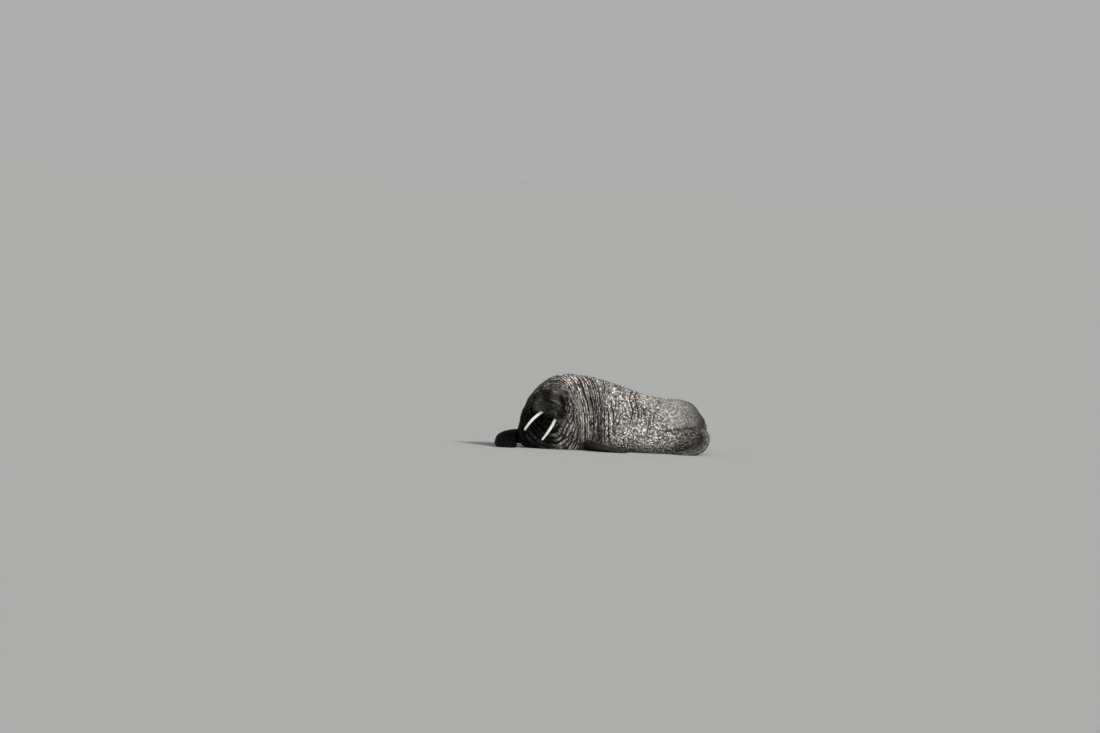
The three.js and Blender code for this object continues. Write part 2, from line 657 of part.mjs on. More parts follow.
// A point on a flipper. along: from 0 at its root to 1 at its tips. across: from -1 to 1 over its width.
// above: 1 on the back of the hand and -1 on the palm. EDGE: more is fuller towards the edges.
const EDGE = 2.4;
function flipperPoint({ stations, scallop, ridge, ridgeFrom, arch }, along, across, above) {
  const lastPlace = stations.length - 1;
  // The back of the hand faces up at the tips.
  const turn = Math.sign(flipperAxes(stations, lastPlace).over.z);
  const s = stationAt(stations, along * lastPlace);
  const { ahead, side, over } = flipperAxes(stations, along * lastPlace);
  const hand = rise(along, ridgeFrom, 1);
  const finger = Math.cos(Math.PI * DIGITS * across);
  const round = Math.sqrt(1 - Math.abs(across) ** EDGE);
  const p = new THREE.Vector3(s.x, s.y, s.z)
    .addScaledVector(side, across * s.half)
    .addScaledVector(over, turn * above * round * s.thick * (1 + ridge * hand * finger))
    .addScaledVector(ahead, hand * (scallop * finger - arch * across * across));
  p.z = Math.max(p.z, 0);
  return p;
}

function flipper(limb) {
  const rings = [];
  for (let i = 0; i <= FLIPPER_STEPS; i++) {
    const along = i / FLIPPER_STEPS;
    const back = OVER.map((across) => flipperPoint(limb, along, across, 1));
    const palm = UNDER.map((across) => flipperPoint(limb, along, across, -1));
    rings.push([...back, ...palm]);
  }
  return loft(rings);
}

// The claws stand on the backs of the digits, a little way in from the edge. long: how far each reaches.
const CLAW = { from: 0.86, to: 0.93, sunk: 6, bend: 0.55, lift: 5, tipLift: 2, root: 5.5, tip: 1.6 };
function claws(limb) {
  return limb.claws.map((long, digit) => {
    const across = (2 * digit + 1 - DIGITS) / DIGITS;
    const start = flipperPoint(limb, CLAW.from, across, 1);
    const ahead = flipperPoint(limb, CLAW.to, across, 1).sub(start).normalize();
    return spine({
      root: start.clone().setZ(start.z - CLAW.sunk),
      middle: start.clone().addScaledVector(ahead, long * CLAW.bend).setZ(start.z + CLAW.lift),
      tip: start.clone().addScaledVector(ahead, long).setZ(start.z + CLAW.tipLift),
      radius: CLAW.root, point: CLAW.tip, sides: 4,
    });
  });
}

// The right fore flipper reaches out beside the chest, bends at the wrist and lays its hand forward.
const FORE_RIGHT = {
  stations: [
    { x: -860, y: -10, z: 160, half: 100, thick: 98, wx: 0.1, wy: 1 },
    { x: -985, y: -30, z: 138, half: 118, thick: 92, wx: 0, wy: 1 },
    { x: -1110, y: -85, z: 130, half: 124, thick: 86, wx: -0.35, wy: 0.95 },
    { x: -1180, y: -205, z: 108, half: 126, thick: 76, wx: -0.9, wy: 0.45 },
    { x: -1185, y: -335, z: 62, half: 134, thick: 50, wx: -1, wy: 0.15 },
    { x: -1172, y: -450, z: 30, half: 142, thick: 30, wx: -1, wy: 0 },
    { x: -1160, y: -565, z: 14, half: 124, thick: 14, wx: -1, wy: 0 },
  ],
  scallop: 14, ridge: 0.28, ridgeFrom: 0.45, arch: 30, claws: [16, 18, 18, 18, 14],
};
// The left one lies flat beside the chest, pointing back along the flank.
const FORE_LEFT = {
  stations: [
    { x: -190, y: -140, z: 112, half: 80, thick: 58, wx: -0.9, wy: -0.5 },
    { x: -120, y: -315, z: 84, half: 96, thick: 54, wx: -0.85, wy: -0.55 },
    { x: -55, y: -445, z: 60, half: 110, thick: 48, wx: -0.8, wy: -0.6 },
    { x: 30, y: -545, z: 44, half: 122, thick: 40, wx: -0.6, wy: -0.8 },
    { x: 115, y: -615, z: 32, half: 134, thick: 31, wx: -0.4, wy: -0.9 },
    { x: 225, y: -655, z: 21, half: 140, thick: 21, wx: -0.3, wy: -1 },
    { x: 320, y: -682, z: 12, half: 120, thick: 12, wx: -0.3, wy: -1 },
  ],
  scallop: 13, ridge: 0.28, ridgeFrom: 0.4, arch: 28, claws: [16, 18, 18, 18, 14],
};
// The hind flippers fold forward under the rump, heels behind and toes on the floor.
const HIND_LEFT = {
  stations: [
    { x: 1120, y: -90, z: 320, half: 100, thick: 84, wx: 0, wy: -1 },
    { x: 1212, y: -125, z: 300, half: 108, thick: 76, wx: 0.2, wy: -1 },
    { x: 1284, y: -170, z: 232, half: 112, thick: 64, wx: 0.3, wy: -1 },
    { x: 1278, y: -230, z: 140, half: 116, thick: 54, wx: 0.4, wy: -1 },
    { x: 1218, y: -295, z: 66, half: 124, thick: 42, wx: 0.5, wy: -0.85 },
    { x: 1140, y: -360, z: 31, half: 134, thick: 28, wx: 0.6, wy: -0.8 },
    { x: 1050, y: -425, z: 18, half: 140, thick: 18, wx: 0.6, wy: -0.8 },
    { x: 985, y: -470, z: 10, half: 122, thick: 10, wx: 0.6, wy: -0.8 },
  ],
  scallop: 14, ridge: 0.3, ridgeFrom: 0.45, arch: -26, claws: [14, 34, 38, 34, 14],
};
// The right one is its mirror image in the body's middle plane.
const BODY_MIDDLE = 20;
function mirrored(limb) {
  const stations = limb.stations.map((s) => ({ ...s, y: 2 * BODY_MIDDLE - s.y, wy: -s.wy }));
  return { ...limb, stations };
}
for (const [name, limb] of [
  ["fore_flipper_right", FORE_RIGHT],
  ["fore_flipper_left", FORE_LEFT],
  ["hind_flipper_left", HIND_LEFT],
  ["hind_flipper_right", mirrored(HIND_LEFT)],
]) {
  const whole = claws(limb).reduce((made, claw) => made.add(solid(claw)), solid(flipper(limb)));
  add(name, fitted(whole), darkHide);
}

// The short tail, on the end of the rump between the heels.
const TAIL = [
  { x: 1215, z: 420, half: 62, thick: 50 },
  { x: 1268, z: 392, half: 50, thick: 36 },
  { x: 1305, z: 352, half: 36, thick: 24 },
  { x: 1318, z: 312, half: 15, thick: 12 },
];
const TAIL_LEAN = 30;
function tail() {
  const steps = 8;
  const around = 16;
  const rings = [];
  for (let i = 0; i <= steps; i++) {
    const s = stationAt(TAIL, (i / steps) * (TAIL.length - 1));
    const ring = [];
    for (let k = 0; k < around; k++) {
      const angle = (2 * Math.PI * k) / around;
      const up = Math.sin(angle) * s.thick;
      ring.push(new THREE.Vector3(
        s.x + up * Math.sin(TAIL_LEAN * DEG),
        BODY_MIDDLE + Math.cos(angle) * s.half,
        s.z + up * Math.cos(TAIL_LEAN * DEG),
      ));
    }
    rings.push(ring);
  }
  return loft(rings);
}
add("tail", fitted(solid(tail())), hide);

// The origin is the middle of the underside.
const box = new THREE.Box3().setFromObject(group);
group.position.set(-(box.min.x + box.max.x) / 2, -(box.min.y + box.max.y) / 2, 0);

export default group;
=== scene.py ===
"""A life-size walrus, still, lying on its belly with its neck drawn in and its head turned to its left."""
import math

import bpy
import numpy as np
from mathutils import Matrix, Vector, kdtree


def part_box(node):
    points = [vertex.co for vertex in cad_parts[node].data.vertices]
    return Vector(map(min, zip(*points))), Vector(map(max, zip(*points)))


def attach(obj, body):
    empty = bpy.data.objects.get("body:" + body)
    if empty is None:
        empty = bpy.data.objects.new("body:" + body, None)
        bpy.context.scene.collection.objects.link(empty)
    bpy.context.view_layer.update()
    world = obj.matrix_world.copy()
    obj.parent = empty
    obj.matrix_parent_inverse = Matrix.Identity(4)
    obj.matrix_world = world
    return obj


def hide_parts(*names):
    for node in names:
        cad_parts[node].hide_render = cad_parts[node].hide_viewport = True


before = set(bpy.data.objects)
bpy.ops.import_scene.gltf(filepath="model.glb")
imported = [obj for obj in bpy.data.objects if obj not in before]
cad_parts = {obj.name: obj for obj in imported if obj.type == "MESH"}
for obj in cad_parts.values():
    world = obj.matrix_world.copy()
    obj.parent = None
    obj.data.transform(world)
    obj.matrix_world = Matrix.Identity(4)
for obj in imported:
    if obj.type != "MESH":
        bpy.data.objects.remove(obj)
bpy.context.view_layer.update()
bpy.ops.object.select_all(action="DESELECT")

# The eyes.
# Small, round and nearly black, set wide apart on the upper sides of the head, bulging between thick lids.
# The head rests nose-down on the chest, turned to the animal's left and rolled towards its right shoulder.
# All of the head is placed in its own frame: x to its right, y forward, z up, between the roots of the tusks.
HEAD_AT = np.array((-0.629, -0.64, 0.471))
HEAD_YAW, HEAD_PITCH, HEAD_ROLL = 101, 15, math.radians(27.5)
EYE = np.array((0.103, -0.13, 0.177))
EYE_RADIUS = 0.021
LOOK = np.array((0.82, 0.34, 0.46)) / math.hypot(0.82, 0.34, 0.46)
# How high the cornea bulges, and how far from the pupil's middle, in radians.
CORNEA_BULGE, CORNEA_REACH = 0.0012, 0.5
# The eye's colours, by the angle in radians from the pupil's middle: pupil, iris and the dark white.
EYE_RINGS = (
    (0.2, (0.0015, 0.0012, 0.001, 1)),
    (0.27, (0.026, 0.014, 0.007, 1)),
    (0.45, (0.014, 0.007, 0.004, 1)),
    (0.52, (0.003, 0.002, 0.002, 1)),
    (0.8, (0.012, 0.007, 0.006, 1)),
)
STREAKS_SCALE, STREAKS_SHOW = 900.0, 0.5
SIDES = (("right", 1), ("left", -1))


def length(vectors):
    """The length of each vector."""
    return np.linalg.norm(vectors, axis=-1)


def unit(vectors):
    """Each vector at a length of 1."""
    return vectors / length(vectors)[..., None]


def axes_of(yaw, pitch):
    """Forward, right and up of a thing turned from -X towards -Y by its yaw, and down by its pitch."""
    yaw, pitch = np.radians(yaw), np.radians(pitch)
    forward = np.stack([-np.cos(yaw) * np.cos(pitch), -np.sin(yaw) * np.cos(pitch), -np.sin(pitch)], -1)
    right = unit(np.cross(forward, (0, 0, 1)))
    return forward, right, np.cross(right, forward)


head_forward, level_right, level_up = axes_of(HEAD_YAW, HEAD_PITCH)
head_right = level_right * math.cos(HEAD_ROLL) + level_up * math.sin(HEAD_ROLL)
HEAD_AXES = np.stack([head_right, head_forward, np.cross(head_right, head_forward)])


def from_head(points):
    """Points of the head's own frame, in the walrus's."""
    return HEAD_AT + np.asarray(points) @ HEAD_AXES


# The walrus is built round its own origin, and stands where the frame has its right eye.
eye_low, eye_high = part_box("eye_right")
HOME = np.array((Vector(eye_low) + Vector(eye_high)) / 2) - from_head(EYE)


def vectors_of(parts, field):
    """The vector that each of these parts of a mesh holds under this name."""
    found = np.empty(len(parts) * 3, np.float32)
    parts.foreach_get(field, found)
    return found.reshape(-1, 3).astype(float)


def coordinates(piece):
    """The places of a mesh's points."""
    return vectors_of(piece.data.vertices, "co")


def set_coordinates(piece, places):
    """Puts a mesh's points at these places."""
    piece.data.vertices.foreach_set("co", places.astype(np.float32).ravel())
    piece.data.update()


def attribute(piece, name, values):
    """Gives each point of a mesh a value, or three, under this name."""
    kind, field = ("FLOAT_VECTOR", "vector") if values.ndim == 2 else ("FLOAT", "value")
    made = piece.data.attributes.new(name, kind, "POINT")
    made.data.foreach_set(field, values.astype(np.float32).ravel())


def shader_node(tree, kind, inputs=None, **settings):
    """Adds a node with these settings. Each input is a value, or another node's output to link."""
    made = tree.nodes.new("ShaderNode" + kind)
    for name, value in settings.items():
        setattr(made, name, value)
    for name, value in (inputs or {}).items():
        if isinstance(value, bpy.types.NodeSocket):
            tree.links.new(value, made.inputs[name])
        else:
            made.inputs[name].default_value = value
    return made


def math_node(tree, operation, first, second=0.0, third=0.0):
    """The output of one sum on numbers or outputs."""
    return shader_node(tree, "Math", {0: first, 1: second, 2: third}, operation=operation).outputs[0]


def mixed(tree, share, first, second, **settings):
    """The output of a mix of two colours, or of outputs in their place."""
    inputs = {0: share, 6: first, 7: second}
    return shader_node(tree, "Mix", inputs, data_type="RGBA", **settings).outputs[2]


def read(tree, name, output="Fac"):
    """The output of an attribute of the piece."""
    return shader_node(tree, "Attribute", attribute_name=name).outputs[output]


def new_material(name, **values):
    """A material with these values on its shader's own sockets, its node tree and its shader."""
    made = bpy.data.materials.new(name)
    made.use_nodes = True
    shader = made.node_tree.nodes["Principled BSDF"]
    for socket, value in values.items():
        shader.inputs[socket.replace("_", " ").title().replace("Ior", "IOR")].default_value = value
    return made, made.node_tree, shader


wet_eye, tree, shader = new_material("wet eye", roughness=0.06, coat_weight=1.0, coat_roughness=0.03)
streaks = shader_node(tree, "TexNoise", {"Scale": STREAKS_SCALE, "Detail": 2.0}).outputs["Fac"]
iris = shader_node(tree, "ValToRGB", {"Fac": read(tree, "from_pupil")})
stops = iris.color_ramp.elements
stops.remove(stops[0])
stops[0].position, stops[0].color = EYE_RINGS[0]
for position, colour in EYE_RINGS[1:]:
    stops.new(position).color = colour
flecks = math_node(tree, "MULTIPLY", streaks, STREAKS_SHOW)
flecked = mixed(tree, flecks, iris.outputs["Color"], streaks, blend_type="MULTIPLY")
tree.links.new(flecked, shader.inputs["Base Color"])
for word, side in SIDES:
    bpy.ops.mesh.primitive_uv_sphere_add(segments=48, ring_count=32, radius=1)
    eye = bpy.context.object
    eye.name = "eye_" + word + "_ball"
    ball = coordinates(eye)
    pupil = np.arccos(np.clip(ball @ (LOOK * (side, 1, 1)), -1, 1))
    bulge = EYE_RADIUS + CORNEA_BULGE * np.clip(1 - (pupil / CORNEA_REACH) ** 2, 0, 1)
    set_coordinates(eye, HOME + from_head(ball * bulge[:, None] + EYE * (side, 1, 1)))
    attribute(eye, "from_pupil", pupil)
    bpy.ops.object.shade_smooth()
    eye.data.materials.append(wet_eye)
    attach(eye, "root")
    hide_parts("eye_" + word)

# The flesh of the trunk.
# A bull's body is one heavy sack of blubber, flat where it lies, with the neck drawn back into a high hump.
# It runs from the rump to the collar of skin behind the head, ring by ring along a curve that turns left.
# Each ring, in metres and degrees: its middle, the way it faces (yaw, pitch), its reach to left, right, top
# and bottom, how square its crown and its belly are, and how far its foot bulges forward.
TRUNK = [
    (1.292, 0.02, 0.372, 0, 0, 0.07, 0.07, 0.062, 0.08, 2, 2, 0),
    (1.24, 0.02, 0.31, 0, 0, 0.225, 0.225, 0.19, 0.235, 2, 2.1, 0),
    (1.13, 0.02, 0.275, 0, 0, 0.345, 0.345, 0.357, 0.3, 2, 2.3, 0),
    (0.96, 0.02, 0.27, 0, 0, 0.42, 0.42, 0.41, 0.33, 2.05, 2.5, 0),
    (0.74, 0.02, 0.28, 0, 0, 0.47, 0.47, 0.405, 0.35, 2.1, 2.6, 0),
    (0.5, 0.02, 0.29, 0, 0, 0.505, 0.505, 0.44, 0.36, 2.1, 2.6, 0),
    (0.25, 0.02, 0.3, 0, 0, 0.53, 0.535, 0.512, 0.37, 2.1, 2.6, 0),
    (0.02, 0.02, 0.3, 4, 0, 0.525, 0.545, 0.578, 0.375, 2.1, 2.6, 0),
    (-0.17, 0.01, 0.28, 18, 0, 0.48, 0.56, 0.636, 0.355, 2.05, 2.6, 0),
    (-0.32, -0.05, 0.24, 36, 0, 0.4, 0.58, 0.694, 0.3, 2, 2.6, 0),
    (-0.438, -0.14, 0.19, 56, 0, 0.335, 0.585, 0.748, 0.24, 1.95, 2.8, 0.02),
    (-0.515, -0.24, 0.17, 74, 6, 0.292, 0.53, 0.742, 0.21, 1.82, 3, 0.09),
    (-0.57, -0.325, 0.3, 86, 14, 0.27, 0.43, 0.532, 0.305, 1.88, 2.5, 0.15),
    (-0.63, -0.395, 0.468, 95, 15, 0.262, 0.29, 0.315, 0.31, 1.95, 2.1, 0.11),
    (-0.656, -0.472, 0.552, 101, 15, 0.19, 0.195, 0.212, 0.19, 2, 2, 0.02),
]
COLLAR = len(TRUNK) - 1


def through(values, place):
    """The value at a place counted in stations, on a smooth curve through a list of them."""
    values = np.asarray(values, float)
    last = len(values) - 1
    i = np.clip(np.floor(place).astype(int), 0, last - 1)
    f = place - i
    a, b, c, d = (values[np.clip(i + k, 0, last)] for k in (-1, 0, 1, 2))
    slope_b, slope_c = (c - a) / 2, (d - b) / 2
    f2, f3 = f * f, f * f * f
    whole = (2 * f3 - 3 * f2 + 1) * b + (f3 - 2 * f2 + f) * slope_b
    return whole + (3 * f2 - 2 * f3) * c + (f3 - f2) * slope_c


def bent(value, power):
    """A power that keeps its sign, for rounded sections."""
    return np.sign(value) * np.abs(value) ** power


def drawn_out(name, around, rings, last, shape):
    """A sphere drawn out into a closed length, with the station, up to last, and the angle of each point.

    shape places the points by their station, angle and reach, which is 0 at the two poles and 1 elsewhere.
    """
    bpy.ops.mesh.primitive_uv_sphere_add(segments=around, ring_count=rings, radius=1)
    piece = bpy.context.object
    piece.name = name
    sphere = coordinates(piece)
    ring = np.rint(np.arccos(np.clip(sphere[:, 2], -1, 1)) / math.pi * rings)
    spot = np.clip((ring - 1) / (rings - 2), 0, 1) * last
    angle = np.arctan2(sphere[:, 1], sphere[:, 0])
    reach = ((ring > 0) & (ring < rings)).astype(float)
    set_coordinates(piece, HOME + shape(spot, angle, reach))
    return piece, spot, angle


def trunk_point(spot, angle, reach=1.0):
    """Points of the trunk without its folds."""
    x, y, z, yaw, pitch, left, right, top, bottom, crown, belly, chest = (
        through(column, spot) for column in zip(*TRUNK)
    )
    forward, rightward, upward = axes_of(yaw, pitch)
    high = np.sin(angle) > 0
    power = 2 / np.where(high, crown, belly)
    side = np.where(np.cos(angle) > 0, right, left) * bent(np.cos(angle), power) * reach
    rises = np.where(high, top, bottom) * bent(np.sin(angle), power) * reach
    bulge = np.where(high, 0, chest * np.sin(angle) ** 2) * reach
    place = np.stack([x, y, z], -1)
    place = place + rightward * side[:, None] + upward * rises[:, None] + forward * bulge[:, None]
    place[:, 2] = np.maximum(place[:, 2], 0)
    return place


flesh = [drawn_out("skin", 96, 140, COLLAR, trunk_point)[0]]

# The flesh of the head.
# The skull is narrow between the eyes, and ends in a blunt nose over two swollen pads that hang over the lip.
# The jaw lies between the tusks, with a thick lower lip. A roll of gum and lip goes round each tusk's root.
# Skull rings: y, half width, top, bottom, and how square the crown and the cheek are.
SKULL = [
    (-0.24, 0.202, 0.244, -0.16, 1.8, 2.1),
    (-0.185, 0.186, 0.243, -0.134, 1.62, 2.1),
    (-0.125, 0.168, 0.231, -0.108, 1.55, 2.2),
    (-0.068, 0.15, 0.204, -0.082, 1.6, 2.3),
    (-0.022, 0.13, 0.176, -0.054, 1.75, 2.3),
    (0.014, 0.106, 0.156, -0.016, 1.9, 2.2),
    (0.04, 0.082, 0.143, 0.026, 2.1, 2.1),
    (0.056, 0.06, 0.13, 0.056, 2.1, 2),
    (0.064, 0.032, 0.114, 0.076, 2, 2),
]
# How far the swelling round each eye reaches, and how high it is.
ORBIT_REACH, ORBIT_HEIGHT = 0.048, 0.009
# Jaw rings: y, half width, top and bottom.
JAW = [
    (-0.225, 0.112, -0.08, -0.16),
    (-0.15, 0.092, -0.062, -0.14),
    (-0.08, 0.074, -0.038, -0.116),
    (-0.025, 0.06, -0.01, -0.096),
    (0.016, 0.052, 0.014, -0.078),
    (0.044, 0.044, 0.02, -0.064),
    (0.06, 0.032, 0.01, -0.05),
    (0.068, 0.014, -0.006, -0.034),
]
JAW_SQUARE = 0.85
# The lip's half ellipse: its middle, half its width, its length and its tilt. Then its radius at the front,
# and how much of that is left at its ends.
LIP_AT, LIP_HALF, LIP_LONG, LIP_TILT = (0, -0.045, -0.034), 0.058, 0.108, math.radians(20)
LIP_RADIUS, LIP_ENDS = 0.013, 0.35
# The right pad: its middle, half its width, depth and height, how square it is, how far its outer side
# hangs, what share of that its upper half does, how far its inner, lower edge is lifted, and how far it
# sweeps back.
PAD_AT = np.array((0.082, 0.012, 0.045))
PAD_HALF, PAD_DEEP, PAD_HIGH, PAD_SQUARE = 0.116, 0.082, 0.08, 0.84
PAD_DROOP, PAD_SHOULDER, PAD_LIFT, PAD_SWEEP = 0.012, 0.6, 0.056, 0.3
# The ring of gum round the right tusk: its middle, its radius and how thick its roll is.
GUM_AT, GUM_REACH, GUM_RADIUS = (0.095, 0, -0.044), 0.025, 0.0095


def bell(away, width):
    """1 at no distance, falling smoothly towards 0 past this width."""
    return np.exp(-((away / width) ** 2))


def skull_point(spot, angle, reach):
    """Points of the skull, swollen a little round the eyes."""
    y, half, top, bottom, crown, cheek = (through(column, spot) for column in zip(*SKULL))
    middle, tall = (top + bottom) / 2, (top - bottom) / 2
    power = 2 / np.where(np.sin(angle) > 0, crown, cheek)
    x = bent(np.cos(angle), power) * half * reach
    z = middle + bent(np.sin(angle), power) * tall * reach
    away = length(np.stack([np.abs(x), y, z], -1) - EYE)
    swell = 1 + ORBIT_HEIGHT * bell(away, ORBIT_REACH) / EYE[0]
    return from_head(np.stack([x * swell, y, middle + (z - middle) * swell], -1))


def jaw_point(spot, angle, reach):
    """Points of the lower jaw."""
    y, half, top, bottom = (through(column, spot) for column in zip(*JAW))
    x = bent(np.cos(angle), JAW_SQUARE) * half * reach
    z = (top + bottom) / 2 + bent(np.sin(angle), JAW_SQUARE) * (top - bottom) / 2 * reach
    return from_head(np.stack([x, y, z], -1))


def lip_point(spot, angle, reach):
    """Points of the lower lip, a roll along a half ellipse round the front of the jaw."""
    turn = spot * math.pi
    ahead = np.array((0, math.cos(LIP_TILT), math.sin(LIP_TILT)))
    upward = np.array((0, -math.sin(LIP_TILT), math.cos(LIP_TILT)))
    spoke = np.outer(np.cos(turn) * LIP_HALF, (1, 0, 0)) + np.outer(np.sin(turn) * LIP_LONG, ahead)
    outward = unit(spoke)
    thick = LIP_RADIUS * (LIP_ENDS + (1 - LIP_ENDS) * np.sqrt(np.abs(np.sin(turn)))) * reach
    round_it = outward * (np.cos(angle) * thick)[:, None]
    return from_head(LIP_AT + spoke + round_it + np.outer(np.sin(angle) * thick, upward))


def pad_point(side, direction):
    """Points on a pad of whiskers, in the head's frame, from their directions from its middle."""
    x = bent(direction[:, 0], PAD_SQUARE) * PAD_HALF
    y = bent(direction[:, 1], PAD_SQUARE) * PAD_DEEP
    outer = np.maximum((x / PAD_HALF + 1) / 2, 0)
    inner = np.maximum(-x / PAD_HALF, 0)
    low = np.maximum(-direction[:, 2], 0)
    hang = PAD_DROOP * outer**2 * np.where(low > 0, 1, PAD_SHOULDER) - PAD_LIFT * inner**2 * low
    z = bent(direction[:, 2], PAD_SQUARE) * PAD_HIGH - hang
    return np.stack([side * (PAD_AT[0] + x), PAD_AT[1] + y - PAD_SWEEP * outer * x, PAD_AT[2] + z], -1)


flesh.append(drawn_out("skull", 72, 60, len(SKULL) - 1, skull_point)[0])
flesh.append(drawn_out("jaw", 48, 40, len(JAW) - 1, jaw_point)[0])
flesh.append(drawn_out("lip", 20, 40, 1, lip_point)[0])
for side in (1, -1):
    bpy.ops.mesh.primitive_uv_sphere_add(segments=64, ring_count=48, radius=1)
    pad = bpy.context.object
    set_coordinates(pad, HOME + from_head(pad_point(side, coordinates(pad))))
    bpy.ops.mesh.primitive_torus_add(
        major_radius=GUM_REACH, minor_radius=GUM_RADIUS, major_segments=32, minor_segments=12
    )
    gum = bpy.context.object
    set_coordinates(gum, HOME + from_head(coordinates(gum) + GUM_AT * np.array((side, 1, 1))))
    flesh += [pad, gum]

# The flesh of the flippers and of the tail.
# A flipper is a leathery paddle over five long digits, thick at the wrist and thin at its edge. The fore ones
# prop the chest, and the hind ones are folded forward under the rump, on each side of a stub of a tail.
# Each ring: its middle, half its width, half its thickness, and the way its width runs over the floor.
FORE_RIGHT = [
    (-0.86, -0.01, 0.16, 0.1, 0.098, 0.1, 1),
    (-0.985, -0.03, 0.138, 0.118, 0.092, 0, 1),
    (-1.11, -0.085, 0.13, 0.124, 0.086, -0.35, 0.95),
    (-1.18, -0.205, 0.108, 0.126, 0.076, -0.9, 0.45),
    (-1.185, -0.335, 0.062, 0.134, 0.05, -1, 0.15),
    (-1.172, -0.45, 0.03, 0.142, 0.03, -1, 0),
    (-1.16, -0.565, 0.014, 0.124, 0.014, -1, 0),
]
FORE_LEFT = [
    (-0.19, -0.14, 0.112, 0.08, 0.058, -0.9, -0.5),
    (-0.12, -0.315, 0.084, 0.096, 0.054, -0.85, -0.55),
    (-0.055, -0.445, 0.06, 0.11, 0.048, -0.8, -0.6),
    (0.03, -0.545, 0.044, 0.122, 0.04, -0.6, -0.8),
    (0.115, -0.615, 0.032, 0.134, 0.031, -0.4, -0.9),
    (0.225, -0.655, 0.021, 0.14, 0.021, -0.3, -1),
    (0.32, -0.682, 0.012, 0.12, 0.012, -0.3, -1),
]
HIND_LEFT = [
    (1.12, -0.09, 0.32, 0.1, 0.084, 0, -1),
    (1.212, -0.125, 0.3, 0.108, 0.076, 0.2, -1),
    (1.284, -0.17, 0.232, 0.112, 0.064, 0.3, -1),
    (1.278, -0.23, 0.14, 0.116, 0.054, 0.4, -1),
    (1.218, -0.295, 0.066, 0.124, 0.042, 0.5, -0.85),
    (1.14, -0.36, 0.031, 0.134, 0.028, 0.6, -0.8),
    (1.05, -0.425, 0.018, 0.14, 0.018, 0.6, -0.8),
    (0.985, -0.47, 0.01, 0.122, 0.01, 0.6, -0.8),
]
BODY_MIDDLE = 0.02
HIND_RIGHT = [(x, 2 * BODY_MIDDLE - y, z, half, thick, wx, -wy) for x, y, z, half, thick, wx, wy in HIND_LEFT]
# Each flipper's rings, how far its digits reach past the webs, how high their ridges are, where those start,
# how far its outer digits fall back, and how long its claws are.
FORE_CLAWS, HIND_CLAWS = (0.016, 0.018, 0.018, 0.018, 0.014), (0.014, 0.034, 0.038, 0.034, 0.014)
FLIPPERS = {
    "fore_flipper_right": (FORE_RIGHT, 0.018, 0.42, 0.35, 0.03, FORE_CLAWS),
    "fore_flipper_left": (FORE_LEFT, 0.017, 0.42, 0.3, 0.028, FORE_CLAWS),
    "hind_flipper_left": (HIND_LEFT, 0.02, 0.45, 0.4, -0.026, HIND_CLAWS),
    "hind_flipper_right": (HIND_RIGHT, 0.02, 0.45, 0.4, -0.026, HIND_CLAWS),
}
DIGITS = 5
# How full a flipper stays towards its two edges.
FLIPPER_EDGE = 2.4
# The tail's rings: x, z, half its width, half its thickness. It leans back down the rump.
TAIL = [
    (1.215, 0.42, 0.062, 0.05),
    (1.268, 0.392, 0.05, 0.036),
    (1.305, 0.352, 0.036, 0.024),
    (1.318, 0.312, 0.015, 0.012),
]
TAIL_LEAN = math.radians(30)
# The haunch that each hind flipper is folded round: its middle, with y from the body's middle, and its reach.
HAUNCH_AT, HAUNCH_REACH = (1.215, 0.145, 0.215), (0.085, 0.1, 0.15)


def rise(value, start, end):
    """A step that rises smoothly from 0 at one place to 1 at another."""
    share = np.clip((value - start) / (end - start), 0, 1)
    return share * share * (3 - 2 * share)


def flipper_axes(stations, spot):
    """The middle of a flipper at each spot, and the ways ahead, across and over it."""
    near, last = 0.02, len(stations) - 1
    columns = list(zip(*stations))

    def middle(at):
        return np.stack([through(columns[k], at) for k in range(3)], -1)

    ahead = unit(middle(np.minimum(spot + near, last)) - middle(np.maximum(spot - near, 0)))
    side = np.stack([through(columns[5], spot), through(columns[6], spot), 0 * spot], -1)
    side -= ahead * np.sum(side * ahead, axis=1, keepdims=True)
    side = unit(side)
    return middle(spot), ahead, side, np.cross(side, ahead)


def flipper_point(limb, spot, across, above):
    """Points of a flipper. across: from -1 to 1 over its width. above: 1 on its back and -1 on its palm."""
    stations, scallop, ridge, ridge_from, arch, _ = limb
    last = len(stations) - 1
    middle, ahead, side, over = flipper_axes(stations, spot)
    turn = np.sign(flipper_axes(stations, np.array([float(last)]))[3][0, 2])
    half, thick = through([s[3] for s in stations], spot), through([s[4] for s in stations], spot)
    hand = rise(spot / last, ridge_from, 1)
    finger = np.cos(math.pi * DIGITS * across)
    full = np.sqrt(np.maximum(1 - np.abs(across) ** FLIPPER_EDGE, 0))
    lift = turn * above * full * thick * (1 + ridge * hand * finger)
    reach = hand * (scallop * finger - arch * across**2)
    place = middle + side * (across * half)[:, None] + over * lift[:, None] + ahead * reach[:, None]
    place[:, 2] = np.maximum(place[:, 2], 0)
    return place


def tail_point(spot, angle, reach):
    """Points of the tail."""
    x, z, half, thick = (through(column, spot) for column in zip(*TAIL))
    up = np.sin(angle) * thick * reach
    across = BODY_MIDDLE + np.cos(angle) * half * reach
    return np.stack([x + up * math.sin(TAIL_LEAN), across, z + up * math.cos(TAIL_LEAN)], -1)


